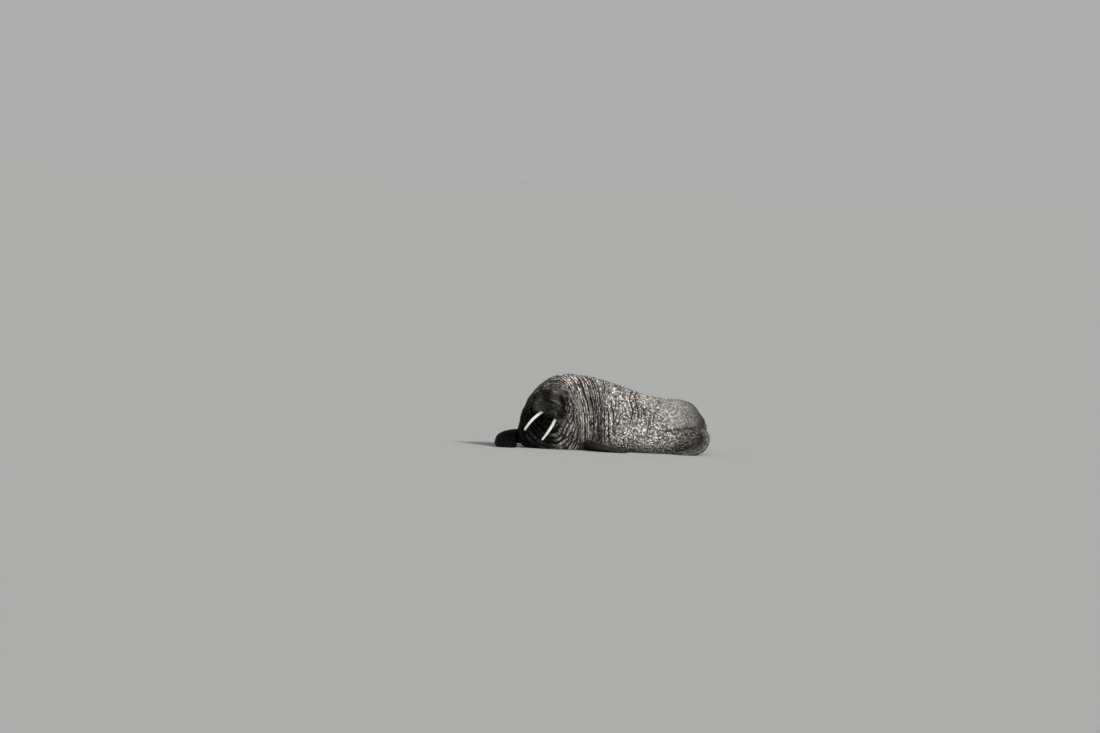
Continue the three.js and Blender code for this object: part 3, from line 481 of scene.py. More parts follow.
for side in (1, -1):
    bpy.ops.mesh.primitive_uv_sphere_add(segments=40, ring_count=24, radius=1)
    haunch = bpy.context.object
    middle = (HAUNCH_AT[0], BODY_MIDDLE + side * HAUNCH_AT[1], HAUNCH_AT[2])
    set_coordinates(haunch, HOME + middle + coordinates(haunch) * HAUNCH_REACH)
    flesh.append(haunch)
for name, limb in FLIPPERS.items():
    def limb_point(spot, angle, reach):
        return flipper_point(limb, spot, np.cos(angle) * reach, np.sign(np.sin(angle)) * reach)

    flesh.append(drawn_out(name + "_flesh", 80, 60, len(limb[0]) - 1, limb_point)[0])
flesh.append(drawn_out("tail_flesh", 40, 24, len(TAIL) - 1, tail_point)[0])

# The skin.
# Bare hide two fingers thick, in one piece over all the flesh. It lies in deep rolls round the drawn-in neck,
# is creased across the shoulders and pebbled behind, and has lids, nostrils, lips and ear holes on the head.
# Grey-brown, palest on the back under painted light from above, nearly black on the flippers, the throat and
# the face, with painted shade in its creases, before the chest and low down.
SKIN_VOXEL = 0.0065
MOST_TRIANGLES = 190000
NOSTRIL, NOSTRIL_LEAN = np.array((0.026, 0.053, 0.118)), math.radians(38)
EAR = np.array((0.19, -0.19, 0.1))
# How near to the middle of an eye's front and of a nostril the mesh is finest.
EYE_NEAR, EYE_FRONT, NOSTRIL_NEAR = 0.036, 0.015, 0.026
# The mean radius of the trunk, which turns an angle round it into metres.
BODY_ROUND = 0.55


def pick(*pieces):
    """Selects these pieces and no others."""
    bpy.ops.object.select_all(action="DESELECT")
    for piece in pieces:
        piece.select_set(True)
    bpy.context.view_layer.objects.active = pieces[0]


def apply_modifier(piece, kind, **values):
    """Gives a piece a modifier with these values, and applies it."""
    pick(piece)
    modifier = piece.modifiers.new(kind, kind)
    for name, value in values.items():
        setattr(modifier, name, value)
    bpy.ops.object.modifier_apply(modifier=modifier.name)


def to_head(points):
    """Points of the walrus, in the head's own frame."""
    return (points - HEAD_AT) @ HEAD_AXES.T


def fall(value, start, end):
    """A step that falls smoothly from 1 at one place to 0 at another."""
    return 1 - rise(value, start, end)


def face_zone(place):
    """1 on the face and 0 away from it, for places in the head's frame."""
    wide = np.hypot(place[:, 0], place[:, 2] - 0.06)
    return rise(place[:, 1], -0.21, -0.18) * fall(wide, 0.24, 0.26)


def mirror_of(place):
    """What turns places on the left of the head into those that they mirror on its right."""
    return np.where(place[:, 0:1] < 0, (-1, 1, 1), (1, 1, 1))


def near_opening(place):
    """True round the eyes and nostrils, for places in the head's frame."""
    mirrored = place * mirror_of(place)
    eye_near = length(mirrored - (EYE + LOOK * EYE_FRONT)) < EYE_NEAR
    return eye_near | (length(mirrored - NOSTRIL) < NOSTRIL_NEAR)


def face_outwards(piece):
    """Turns a closed piece's faces to point outwards."""
    pick(piece)
    bpy.ops.object.mode_set(mode="EDIT")
    bpy.ops.mesh.select_all(action="SELECT")
    bpy.ops.mesh.normals_make_consistent(inside=False)
    bpy.ops.object.mode_set(mode="OBJECT")


def refine(piece, chosen):
    """Cuts the faces whose middles are chosen into four."""
    inside = chosen(to_head(vectors_of(piece.data.polygons, "center") - HOME))
    bpy.ops.object.mode_set(mode="EDIT")
    bpy.ops.mesh.select_all(action="DESELECT")
    bpy.ops.object.mode_set(mode="OBJECT")
    piece.data.polygons.foreach_set("select", inside)
    bpy.ops.object.mode_set(mode="EDIT")
    bpy.ops.mesh.subdivide(number_cuts=1)
    bpy.ops.object.mode_set(mode="OBJECT")


def soft_noise(points, size, seed):
    """Smooth random lumps of about this size in metres, from -1 to 1, at each point."""
    table = np.random.default_rng(seed).uniform(-1, 1, (32, 32, 32)).ravel()
    grid = points / size
    low = np.floor(grid).astype(int)
    f = grid - low
    f = f * f * (3 - 2 * f)
    total = 0
    for corner in np.ndindex(2, 2, 2):
        weight = np.prod(np.where(corner, f, 1 - f), axis=1)
        index = (low + corner) & 31
        total = total + weight * table[index[:, 0] * 1024 + index[:, 1] * 32 + index[:, 2]]
    return total


def line_noise(points, size, seed, thin):
    """1 along the winding lines where soft lumps of this size change sign, falling to 0 between them."""
    return (1 - np.abs(soft_noise(points, size, seed))) ** thin


skin = flesh[0]
pick(*flesh)
bpy.ops.object.join()
face_outwards(skin)
apply_modifier(skin, "REMESH", mode="VOXEL", voxel_size=SKIN_VOXEL)
apply_modifier(skin, "SMOOTH", factor=0.5, iterations=5)
refine(skin, lambda place: face_zone(place) > 0.5)
refine(skin, near_opening)
apply_modifier(skin, "SMOOTH", factor=0.5, iterations=2)

places = coordinates(skin) - HOME
x, z = places[:, 0], places[:, 2]
normals = vectors_of(skin.data.vertex_normals, "vector")

# Where each point lies along and round the trunk: first from the nearest of many points of it.
spots, angles = np.meshgrid(
    np.linspace(0, COLLAR, 561), np.linspace(-math.pi, math.pi, 180, endpoint=False), indexing="ij"
)
samples = trunk_point(spots.ravel(), angles.ravel())
steps = length(np.diff(samples.reshape(*spots.shape, 3), axis=0)).mean(axis=1)
nearest = kdtree.KDTree(len(samples))
for index, sample in enumerate(samples):
    nearest.insert(sample, index)
nearest.balance()
index = np.array([nearest.find(place)[1] for place in places])
spot, angle = spots.ravel()[index], angles.ravel()[index]


def settle(spot, angle, small=0.01, most=0.1):
    """Shifts stations and angles to where the trunk comes closest to each point of the skin."""
    before, after = np.maximum(spot - small, 0), np.minimum(spot + small, COLLAR)
    along = (trunk_point(after, angle) - trunk_point(before, angle)) / (after - before)[:, None]
    round_it = (trunk_point(spot, angle + small) - trunk_point(spot, angle - small)) / (2 * small)
    off = places - trunk_point(spot, angle)
    aa, ab, bb = (np.sum(p * q, axis=1) for p, q in ((along, along), (along, round_it), (round_it, round_it)))
    oa, ob = np.sum(off * along, axis=1), np.sum(off * round_it, axis=1)
    span = np.maximum(aa * bb - ab * ab, 1e-9)
    spot = spot + np.clip((bb * oa - ab * ob) / span, -most, most)
    return np.clip(spot, 0, COLLAR), angle + np.clip((aa * ob - ab * oa) / span, -most, most)


spot, angle = settle(spot, angle)
spot, angle = settle(spot, angle)
on_trunk = fall(length(places - trunk_point(spot, angle)), 0.006, 0.02)
run = np.interp(spot, spots[:, 0], np.concatenate([[0], np.cumsum(steps)]))
lie = np.stack([np.cos(angle) * BODY_ROUND, np.sin(angle) * BODY_ROUND, run], -1)
along_hide = np.where(on_trunk[:, None] > 0.5, lie * (0.8, 0.8, 1), places)

# The rolls round the neck, uneven round the body, each split by a finer crease along its top.
# From and to which station of the trunk, how many, how deep, over what share of them they deepen, how blunt
# their tops are, how much of each lies under the flesh's line, how far they waver, and how lumpy they are.
ROLLS_FROM, ROLLS_TO, ROLL_COUNT, ROLL_DEPTH = 6.7, COLLAR, 12, 0.021
ROLL_FADE, ROLL_ROUND, ROLL_SET, ROLL_WAVER, ROLL_LUMPS = 0.25, 0.7, 0.6, 0.4, 0.004
# Half the width of a valley between rolls and of a split, both as shares of a roll.
VALLEY_HALF, SPLIT_HALF, SPLIT_DEPTH = 0.12, 0.19, 0.009
FINE_CREASE_DEPTH, FINE_RIDGE_HEIGHT = 0.003, 0.0035


def off_whole(turns):
    """How far a count of turns is from the nearest whole one."""
    return np.minimum(turns % 1, 1 - turns % 1)


share = np.clip((spot - ROLLS_FROM) / (ROLLS_TO - ROLLS_FROM), 0, 1)
waver = ROLL_WAVER * soft_noise(lie * (1, 1, 2), 0.32, 3) * rise(share, 0, 0.15)
phase = (share * ROLL_COUNT + waver) % 1
rolls = np.minimum(1, share / ROLL_FADE) * (share < 1) * on_trunk
depth = ROLL_DEPTH * (0.85 + 0.35 * soft_noise(lie * (1, 1, 3), 0.4, 4))
relief = depth * rolls * (np.sin(math.pi * phase) ** ROLL_ROUND - ROLL_SET)
relief += ROLL_LUMPS * soft_noise(lie * (1, 1, 2), 0.045, 7) * rolls
valley = bell(off_whole(phase), VALLEY_HALF) * rolls
split = off_whole(2 * phase + 0.3 * soft_noise(lie * (1, 1, 3), 0.2, 17))
split = bell(split, SPLIT_HALF) * rolls * rise(share, 0.05, 0.25)
split *= np.clip(0.85 + 0.5 * soft_noise(lie * (1, 1, 2), 0.16, 18), 0, 1)
relief -= SPLIT_DEPTH * split * (1 - valley)
warped = lie + 0.03 * np.stack([0 * run, 0 * run, soft_noise(places, 0.14, 5)], -1)
creases = rise(line_noise(warped * (0.12, 0.12, 1), 0.022, 6, 1), 0.7, 0.97) * rise(spot, 6.5, 9.5) * on_trunk
relief -= FINE_CREASE_DEPTH * creases
ridges = rise(line_noise(warped * (0.1, 0.1, 1), 0.034, 23, 1), 0.72, 0.97) * rise(spot, 8, 10.5) * on_trunk
relief += FINE_RIDGE_HEIGHT * ridges

# The shoulders' wrinkles run part of the way round the body, and die out towards the rump and the foot of the
# flank. Over all of the trunk the hide is pebbled, less on the rolls and on the top of the rump.
WRINKLES_APART, SMALL_APART, WRINKLE_HALF, WRINKLE_DEPTH = 0.075, 0.043, 0.14, 0.012
PEBBLE_SIZE, PEBBLE_HEIGHT, SMALL_PEBBLE_SIZE, SMALL_PEBBLE_HEIGHT = 0.034, 0.005, 0.019, 0.0025


def arcs_round(spacing, seed):
    """1 in broken creases round the trunk, this far apart, falling to 0 between them."""
    drift = 0.9 * soft_noise(lie * (1, 1, 1.5), 0.3, seed) + 0.2 * soft_noise(places, 0.1, seed + 1)
    here = rise(soft_noise(lie * (0.6, 0.6, 1.6), 0.16, seed + 2), -0.3, 0.15)
    return bell(off_whole(run / spacing + drift), WRINKLE_HALF) * here


wrinkled = on_trunk * rise(spot, 2.8, 5.6) * (1 - 0.7 * rise(spot, 8, 9.5))
wrinkled *= 1 - 0.75 * fall(z, 0.1, 0.3) * fall(spot, 5, 6.5)
wrinkles = np.maximum(arcs_round(WRINKLES_APART, 31), 0.8 * arcs_round(SMALL_APART, 34)) * wrinkled
relief -= WRINKLE_DEPTH * wrinkles
smooth_rump = rise(z, 0.25, 0.45) * fall(spot, 2.5, 4.5)
pebbled = on_trunk * (1 - 0.3 * rise(spot, 7.5, 10)) * (1 - 0.5 * smooth_rump)
pebbles = PEBBLE_HEIGHT * soft_noise(along_hide, PEBBLE_SIZE, 10)
pebbles += SMALL_PEBBLE_HEIGHT * soft_noise(along_hide, SMALL_PEBBLE_SIZE, 9)
relief += pebbles * pebbled

# A crease runs forward from each thigh along the flank, and falls a little on its way.
THIGH_AT, THIGH_HIGH, THIGH_SLOPE, THIGH_HALF, THIGH_DEPTH = 0.9, 0.294, 0.1, 0.014, 0.015
thigh = z - THIGH_HIGH - THIGH_SLOPE * (x - THIGH_AT)
thigh = np.abs(thigh - 0.018 * soft_noise(places, 0.12, 11) - 0.008 * soft_noise(places, 0.035, 8))
thigh = bell(thigh, THIGH_HALF) * rise(x, 0.62, 0.85) * fall(x, 1.1, 1.2) * on_trunk
relief -= THIGH_DEPTH * thigh

# The face, in the head's own frame, and mirrored to its right side.
place = to_head(places)
mirror = mirror_of(place)
face = place * mirror
on_face = face_zone(place)
on_head = fall(length(place - (0, -0.05, 0.06)), 0.27, 0.33) * (1 - on_trunk)

# Arched wrinkles behind the pads and across the brow, and a dimpled skin on the pads.
ARCS_TURN, MUZZLE_DEPTH, BROW_DEPTH, FACE_DEPTH, DIMPLE_DEPTH = 30, 0.0035, 0.0028, 0.0012, 0.0012
behind_pad = length((face - PAD_AT) / (PAD_HALF, PAD_DEEP, PAD_HIGH))
arcs = np.sin(behind_pad * ARCS_TURN + 2.5 * soft_noise(place, 0.07, 12)) ** 2
muzzle_wrinkles = arcs**5 * rise(behind_pad, 1.12, 1.25) * fall(behind_pad, 2.0, 2.5) * on_face
brow_wrinkles = line_noise(place * (0.3, 1, 1), 0.026, 13, 6) * rise(face[:, 2], 0.13, 0.18) * on_face
pad = fall(behind_pad, 1.03, 1.12) * on_face
relief -= MUZZLE_DEPTH * muzzle_wrinkles + BROW_DEPTH * brow_wrinkles
relief -= FACE_DEPTH * line_noise(place, 0.016, 14, 4) * on_face
relief += DIMPLE_DEPTH * soft_noise(place, 0.009, 15) * pad

# The nostrils are slit and bent, and each has a raised rim above and outside it.
SLIT_BEND, SLIT_HALF, SLIT_TALL, SLIT_DEPTH, RIM_HEIGHT = 14, 0.0075, 0.014, 0.013, 0.0045
tall = np.array((0, -math.sin(NOSTRIL_LEAN), math.cos(NOSTRIL_LEAN)))
over_x, over_z = face[:, 0] - NOSTRIL[0], (face - NOSTRIL) @ tall
slit = np.hypot((over_x - SLIT_BEND * over_z**2) / SLIT_HALF, over_z / SLIT_TALL)
near_nose = fall(length(face - NOSTRIL), 0.03, 0.04)
nostril = fall(slit, 0.45, 1.15) * near_nose
relief += RIM_HEIGHT * bell(slit - 1.65, 0.5) * near_nose * rise(over_z + over_x, -0.012, 0.006)
relief -= SLIT_DEPTH * nostril

# The ear is a small hole under a fold, behind the eye.
EAR_HALF, EAR_DEPTH, EAR_FOLD_AT, EAR_FOLD_HALF, EAR_FOLD_HEIGHT = 0.006, 0.008, 0.012, 0.005, 0.004
ear_away = length((face - EAR) / (1, 1, 0.6))
ear = bell(ear_away, EAR_HALF) * on_face
relief += EAR_FOLD_HEIGHT * bell(ear_away - EAR_FOLD_AT, EAR_FOLD_HALF) * on_face - EAR_DEPTH * ear

# The leather of the flippers and of the tail is finely wrinkled. What lies on the floor is pressed flat.
LEATHER_DEPTH, PRESSED_UNDER = 0.0025, 0.004
leathery = (1 - on_trunk) * (1 - on_head)
leather = line_noise(places * (1, 1, 0.5), 0.03, 19, 4) * leathery
relief -= LEATHER_DEPTH * leather
relief[z < PRESSED_UNDER] = 0
moved = places + normals * relief[:, None]

# The lids drape over the eyes, with an almond opening between them and three folds round it.
# How far out they lie over the eye, how far they reach, half the opening's width and height, how pointed it
# is, over what depth they run into the face, how far the skin keeps off the eye, and the height of their rim.
LID_OUT, LID_REACH, OPEN_HALF, OPEN_HIGH, OPEN_POINTED = 0.0245, 0.025, 0.0185, 0.0105, 1.6
LID_SOFT, EYE_CLEAR, LID_RIM_HEIGHT = 0.004, 0.005, 0.0012
# Each fold: where it runs, as a multiple of the opening, half its width, and how strong it is.
LID_FOLDS, LID_FOLD_DEPTH = ((1.75, 0.13, 1), (2.5, 0.16, 0.8), (3.3, 0.2, 0.5)), 0.0022
across = unit(np.cross((0, 0, 1), LOOK))
upward = np.cross(LOOK, across)
face = to_head(moved) * mirror
off_eye = face - EYE
out, over_u, over_w = off_eye @ LOOK, off_eye @ across, off_eye @ upward
from_axis = np.hypot(over_u, over_w)
at_eye = fall(from_axis, 0.034, 0.05) * rise(out, -0.03, -0.015) * on_face
opening = (np.abs(over_u) / OPEN_HALF) ** OPEN_POINTED + (np.abs(over_w) / OPEN_HIGH) ** OPEN_POINTED
opening = opening ** (1 / OPEN_POINTED)
lid = LID_OUT * bell(from_axis, LID_REACH)
draped = np.maximum(out, lid) + LID_SOFT / 4 * np.maximum(1 - np.abs(out - lid) / LID_SOFT, 0) ** 2
lid_folds = sum(strong * bell(opening - at, half) for at, half, strong in LID_FOLDS)
draped -= LID_FOLD_DEPTH * lid_folds
draped += LID_RIM_HEIGHT * bell(opening - 1.2, 0.15)
ball = np.sqrt(np.maximum(EYE_RADIUS**2 - from_axis**2, 0))
inside = fall(opening, 0.88, 1.08)
draped = draped * (1 - inside) + np.minimum(draped, ball - EYE_CLEAR) * inside
face = face + LOOK * ((draped - out) * at_eye)[:, None]
moved = np.where(at_eye[:, None] > 0, from_head(face * mirror), moved)
moved[:, 2] = np.maximum(moved[:, 2], 0)
set_coordinates(skin, HOME + moved)

# How pale the skin is: pale on the flank and rump, dark round the head, with painted shade low down, before
# the chest and under the neck, painted light high up, and painted highlights on the crests of the rolls and
# on the neck's fine ridges.
# The trunk's tones by station, from the rump to the collar, and how much paler or darker it is in places.
TRUNK_TONES = (0.12, 0.13, 0.17, 0.33, 0.52, 0.57, 0.55, 0.53, 0.52, 0.52, 0.5, 0.44, 0.34, 0.24, 0.17)
chest_skin_and_shade = rise(-x, 0.4, 0.66) * (1 - 0.7 * rise(z, 0.45, 0.85))
shade_under_neck = rise(x, -0.4, -0.3) * fall(x, -0.05, 0.1) * fall(z, 0.25, 0.5)
low_shade = fall(z + 0.05 * soft_noise(places, 0.15, 16), 0.03, 0.2)
roll_crest_highlights = rolls * np.sin(2 * math.pi * phase) ** 4
body_tone = through(TRUNK_TONES, spot)
# In turn: darker skin and painted shade before the chest, painted light high up, the top of the neck, painted
# highlights on its fine ridges, painted shade under the neck, painted light low on the haunch against its
# shade, painted shade at the foot of the body, the rump's end and the thigh.
for change, where in (
    (-0.9, chest_skin_and_shade),
    (0.15, rise(z, 0.45, 0.75)),
    (-0.27, rise(spot, 9, 11) * rise(z, 0.55, 0.8)),
    (0.8, ridges),
    (-0.3, shade_under_neck),
    (0.7, rise(x, 1.02, 1.2) * fall(z, 0.24, 0.36)),
    (-0.45, low_shade),
    (-0.4, rise(x, 1.12, 1.28)),
    (-0.35, rise(x, 0.85, 1.0) * fall(z, 0.2, 0.34)),
):
    body_tone = body_tone * (1 + change * where)
# Painted highlights on the crests of the rolls.
body_tone *= 1 - 0.1 * rolls + 0.9 * roll_crest_highlights


def spot_at(at, reach):
    """1 at one place of the head, fading to 0 over this reach."""
    return bell(length(place - at), reach)


def line_through(path, width):
    """1 along a bent line through places of the head, fading to 0 beside it."""
    away = np.full(len(place), np.inf)
    for start, end in zip(path[:-1], path[1:]):
        start, leg = np.array(start), np.subtract(end, start)
        along = np.clip((place - start) @ leg / (leg @ leg), 0, 1)
        away = np.minimum(away, length(place - start - along[:, None] * leg))
    return bell(away, width)


# The face is nearly black, paler on its crown and over the right eye under painted light from above, with
# painted highlights on the folds behind the right pad, darker skin and painted shade round the eyes, painted
# shade down its left side, and painted highlights along the top of the nose and where the pads meet.
# Painted highlights run along these places of the head: the top rim of the nose, and where the pads meet.
NOSE_RIM_HIGHLIGHT = (
    (0.088, 0.001, 0.127), (0.06, 0.008, 0.142), (0.031, 0.016, 0.15), (0, 0.026, 0.149),
    (-0.023, 0.033, 0.142),
)
PAD_RIM_HIGHLIGHT = (
    (0.015, 0.086, 0.034), (-0.012, 0.091, 0.036), (-0.03, 0.092, 0.03), (-0.042, 0.086, 0.012),
    (-0.049, 0.079, -0.008),
)
# Where it is paler, under painted light on the crown and with painted highlights on the right cheek, and
# darker, with painted shade round the right eye and on the left.
LIT_CROWN, CHEEK_FOLD_HIGHLIGHT = (0.05, -0.155, 0.22), (0.178, -0.163, 0.063)
DARK_BROW, DARK_TEMPLE, DARK_LEFT = (0.112, -0.12, 0.175), (0.162, -0.181, 0.126), (-0.053, -0.077, 0.185)
# Painted light: the upper side of the head and its crown are paler, as if lit from above.
head_tone = 0.014 + 0.045 * rise(place[:, 2] + 0.4 * place[:, 1], 0.1, 0.19)
head_tone += 0.1 * spot_at(LIT_CROWN, 0.045)
# Painted highlights on the folds behind the right pad.
head_tone += 0.1 * arcs**3 * spot_at(CHEEK_FOLD_HIGHLIGHT, 0.05) * (1 - pad)
# Darker skin and painted shade round the eyes, widest round the left one.
head_tone *= 1 - 0.9 * spot_at(DARK_BROW, 0.032)
head_tone *= 1 - 0.6 * spot_at(DARK_TEMPLE, 0.022)
head_tone *= 1 - 0.92 * np.clip(1.4 * spot_at(DARK_LEFT, 0.066), 0, 1)
# Painted shade down the head's left side, away from the key light.
head_tone *= 1 - 0.5 * rise(-place[:, 0], 0.08, 0.16)
pad_tone = 0.006 + 0.04 * spot_at((0.145, 0.065, 0.02), 0.05)
head_tone = head_tone * (1 - pad) + pad_tone * pad
# Painted highlights along the top of the nose and where the pads meet.
head_tone += 0.12 * line_through(NOSE_RIM_HIGHLIGHT, 0.009) + 0.1 * line_through(PAD_RIM_HIGHLIGHT, 0.01)

# The limbs: the hind flippers, the left fore one and the right fore one, each darker than the one before; the
# right fore one's near black is painted shade.
HIND_TONE, LEFT_TONE, RIGHT_SHADED_TONE, HIND_FROM, LEFT_FROM = 0.15, 0.05, 0.005, 0.6, -0.4
limb_tone = np.where(x > HIND_FROM, HIND_TONE, np.where(x > LEFT_FROM, LEFT_TONE, RIGHT_SHADED_TONE))
pebbled = np.maximum(pebbled, 0.6 * (1 - on_trunk) * (x > HIND_FROM))
pebbled = np.maximum(pebbled, 0.45 * leathery)
tone = on_head * head_tone + (1 - on_head) * (on_trunk * body_tone + (1 - on_trunk) * limb_tone)
# Painted shade: how deep each point lies in a valley, crease, wrinkle, nostril, the ear or a lid's opening,
# which darkens its colour.
crease = np.clip(np.maximum.reduce([
    valley, 0.85 * creases, wrinkles, 0.7 * thigh, 0.7 * muzzle_wrinkles, 0.6 * brow_wrinkles, nostril, ear,
    0.8 * lid_folds * at_eye, inside * at_eye, 0.95 * split, 0.5 * leather,
]), 0, 1)
attribute(skin, "tone", tone)
attribute(skin, "crease", crease)
attribute(skin, "pebbled", pebbled)
attribute(skin, "ringed", on_trunk * rise(spot, 2, 7))
attribute(skin, "whiskered", pad)
attribute(skin, "lie", along_hide)

weights = skin.vertex_groups.new(name="coarser")
weights.add(np.nonzero(on_face < 0.5)[0].tolist(), 1, "REPLACE")
triangles = sum(len(face.vertices) - 2 for face in skin.data.polygons)
if triangles > MOST_TRIANGLES:
    apply_modifier(skin, "DECIMATE", ratio=MOST_TRIANGLES / triangles, vertex_group="coarser")
skin.vertex_groups.clear()
pick(skin)
bpy.ops.object.shade_smooth()
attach(skin, "root")
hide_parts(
    "rump", "belly", "chest", "neck", "head", "lower_jaw", "whisker_pad_right", "whisker_pad_left",
    "fore_flipper_right", "fore_flipper_left", "hind_flipper_left", "hind_flipper_right", "tail",
)

hide, tree, shader = new_material("hide", specular_ior_level=0.12)
grain = read(tree, "lie", "Vector")
pebbled_by, ringed_by, crease_shade_by = read(tree, "pebbled"), read(tree, "ringed"), read(tree, "crease")


def smooth_step(tree, value, start, end, low=0.0, high=1.0):
    """An output that goes smoothly from low to high as the value goes from start to end."""
    inputs = {"Value": value, "From Min": start, "From Max": end, "To Min": low, "To Max": high}
    return shader_node(tree, "MapRange", inputs, interpolation_type="SMOOTHSTEP").outputs[0]


def noise_over(tree, vector, scale, detail=2.0, roughness=0.5, output="Fac"):
    """The output of a noise at so many lumps a metre."""
    inputs = {"Vector": vector, "Scale": scale, "Detail": detail, "Roughness": roughness}
    return shader_node(tree, "TexNoise", inputs).outputs[output]


def faded(tree, pattern, low, high, by):
    """A factor that is 1 where the pattern doesn't reach, and goes from low to high with it where it does."""
    full = smooth_step(tree, pattern, 0.0, 1.0, low, high)
    return math_node(tree, "MULTIPLY_ADD", math_node(tree, "SUBTRACT", full, 1.0), by, 1.0)


def swirled(tree, vector, scale, by):
    """A vector, drawn about by a noise at so many lumps a metre."""
    inputs = {0: noise_over(tree, vector, scale, output="Color"), 1: (by, by, by), 2: vector}
    return shader_node(tree, "VectorMath", inputs, operation="MULTIPLY_ADD").outputs[0]


def cells(tree, vector, scale, **settings):
    """The outputs of a pattern of so many cells a metre."""
    return shader_node(tree, "TexVoronoi", {"Vector": vector, "Scale": scale}, **settings).outputs


# Rounded bosses of many shades, dark marks between them, fine cracks over all of the skin but the pads, lines
# round the neck, pits that the whiskers grow from, large blotches and a fine grain.
swirl = swirled(tree, grain, 9.0, 0.05)
bossed = cells(tree, swirled(tree, swirl, 45.0, 0.014), 40.0)
bosses = smooth_step(tree, bossed["Distance"], 0.66, 0.2)
shades = shader_node(tree, "SeparateColor", {0: bossed["Color"]}).outputs[0]
cracks = smooth_step(tree, cells(tree, swirl, 85.0, feature="DISTANCE_TO_EDGE")["Distance"], 0.0, 0.13)
pits = smooth_step(tree, cells(tree, swirl, 100.0)["Distance"], 0.15, 0.5)
marks = smooth_step(tree, noise_over(tree, swirl, 33.0, 4.0, 0.6), 0.4, 0.54)
ring_grain = shader_node(tree, "VectorMath", {0: swirl, 1: (0.3, 0.3, 1)}, operation="MULTIPLY").outputs[0]
rings = math_node(tree, "SUBTRACT", noise_over(tree, ring_grain, 44.0, 3.0, 0.6), 0.5)
rings = smooth_step(tree, math_node(tree, "ABSOLUTE", rings), 0.0, 0.08)
blotches = noise_over(tree, grain, 4.5, 3.0, 0.6)
fine = noise_over(tree, grain, 170.0, 5.0, 0.65)
whiskered_by = read(tree, "whiskered")
cracked_by = math_node(tree, "MULTIPLY_ADD", whiskered_by, -0.85, 1.0)

# Each pattern, its mask, how it darkens and lightens the skin, and by how many metres it raises it.
paleness = math_node(tree, "MULTIPLY", read(tree, "tone"), smooth_step(tree, blotches, 0.3, 0.7, 0.82, 1.15))
height = 0.0
for pattern, by, darkest, palest, high in (
    (bosses, pebbled_by, 0.42, 1.15, 0.007),
    (marks, pebbled_by, 0.42, 1.15, 0.0035),
    (shades, pebbled_by, 0.8, 1.15, 0.0),
    (rings, ringed_by, 0.5, 1.15, 0.004),
    (cracks, cracked_by, 0.75, 1.05, 0.0008),
    (pits, whiskered_by, 1.15, 0.5, -0.0015),
    (fine, 1.0, 0.75, 1.2, 0.0007),
):
    paleness = math_node(tree, "MULTIPLY", paleness, faded(tree, pattern, darkest, palest, by))
    if high:
        height = math_node(tree, "MULTIPLY_ADD", math_node(tree, "MULTIPLY", pattern, by), high, height)
# Painted shade: the skin darkens towards a tenth of its tone in its creases and openings.
paleness = math_node(tree, "MULTIPLY", paleness, smooth_step(tree, crease_shade_by, 0.05, 0.85, 1.0, 0.1))
tint = (1.06, 1.0, 0.92)
colour = shader_node(tree, "VectorMath", {0: tint, "Scale": paleness}, operation="SCALE").outputs[0]
tree.links.new(colour, shader.inputs["Base Color"])
tree.links.new(smooth_step(tree, paleness, 0.01, 0.25, 0.5, 0.75), shader.inputs["Roughness"])
bump = shader_node(tree, "Bump", {"Strength": 1.0, "Distance": 1.0, "Height": height})
tree.links.new(bump.outputs[0], shader.inputs["Normal"])
skin.data.materials.clear()
skin.data.materials.append(hide)

# The tusks.
# Two long canine teeth of ivory, set in the upper jaw. They run down, out and back, and are worn blunt.
# Each is one closed length, sunk in the head, with fine cracks and stains along it. The right bows out more.
TUSK_AT = (0.093, 0.004, -0.029)
TUSK_SUNK, TUSK_LONG, TUSK_SPREAD, TUSK_BACK = 0.06, 0.362, 0.038, 0.116
TUSK_BOW = {1: 0.028, -1: 0.006}
# A tusk's radius at its root, halfway and at its tip, how much deeper it is than wide, how short its blunt
# end is as a share of it, and how deep the grooves down it are as a share of its radius.
TUSK_ROOT, TUSK_WAIST, TUSK_TIP, TUSK_DEEP, TUSK_BLUNT, TUSK_GROOVE = 0.0205, 0.0185, 0.012, 1.15, 0.04, 0.035


def tusk_point(side, spot, angle, reach):
    """Points of a tusk, with the shallow grooves that run down it."""
    share = -TUSK_SUNK / TUSK_LONG + spot * (1 + TUSK_SUNK / TUSK_LONG)
    x = side * (TUSK_AT[0] + TUSK_SPREAD * share + TUSK_BOW[side] * np.sin(math.pi * share))
    y = TUSK_AT[1] - TUSK_BACK * share * (1 + np.abs(share)) / 2
    z = TUSK_AT[2] - TUSK_LONG * share
    upper = TUSK_ROOT + (TUSK_WAIST - TUSK_ROOT) * np.maximum(share, 0) * 2
    lower = TUSK_WAIST + (TUSK_TIP - TUSK_WAIST) * (share - 0.5) * 2
    blunt = np.clip((1 - share) / TUSK_BLUNT, 0, 1)
    blunt = np.sqrt(blunt * (2 - blunt))
    lengthwise = np.stack([np.cos(angle), np.sin(angle), share * 1.5 + side], -1)
    grooved = 1 - TUSK_GROOVE * line_noise(lengthwise, 0.4, 21, 5)
    radius = np.where(share < 0.5, upper, lower) * blunt * reach * grooved
    return from_head(np.stack([x + np.cos(angle) * radius, y + np.sin(angle) * radius * TUSK_DEEP, z], -1))


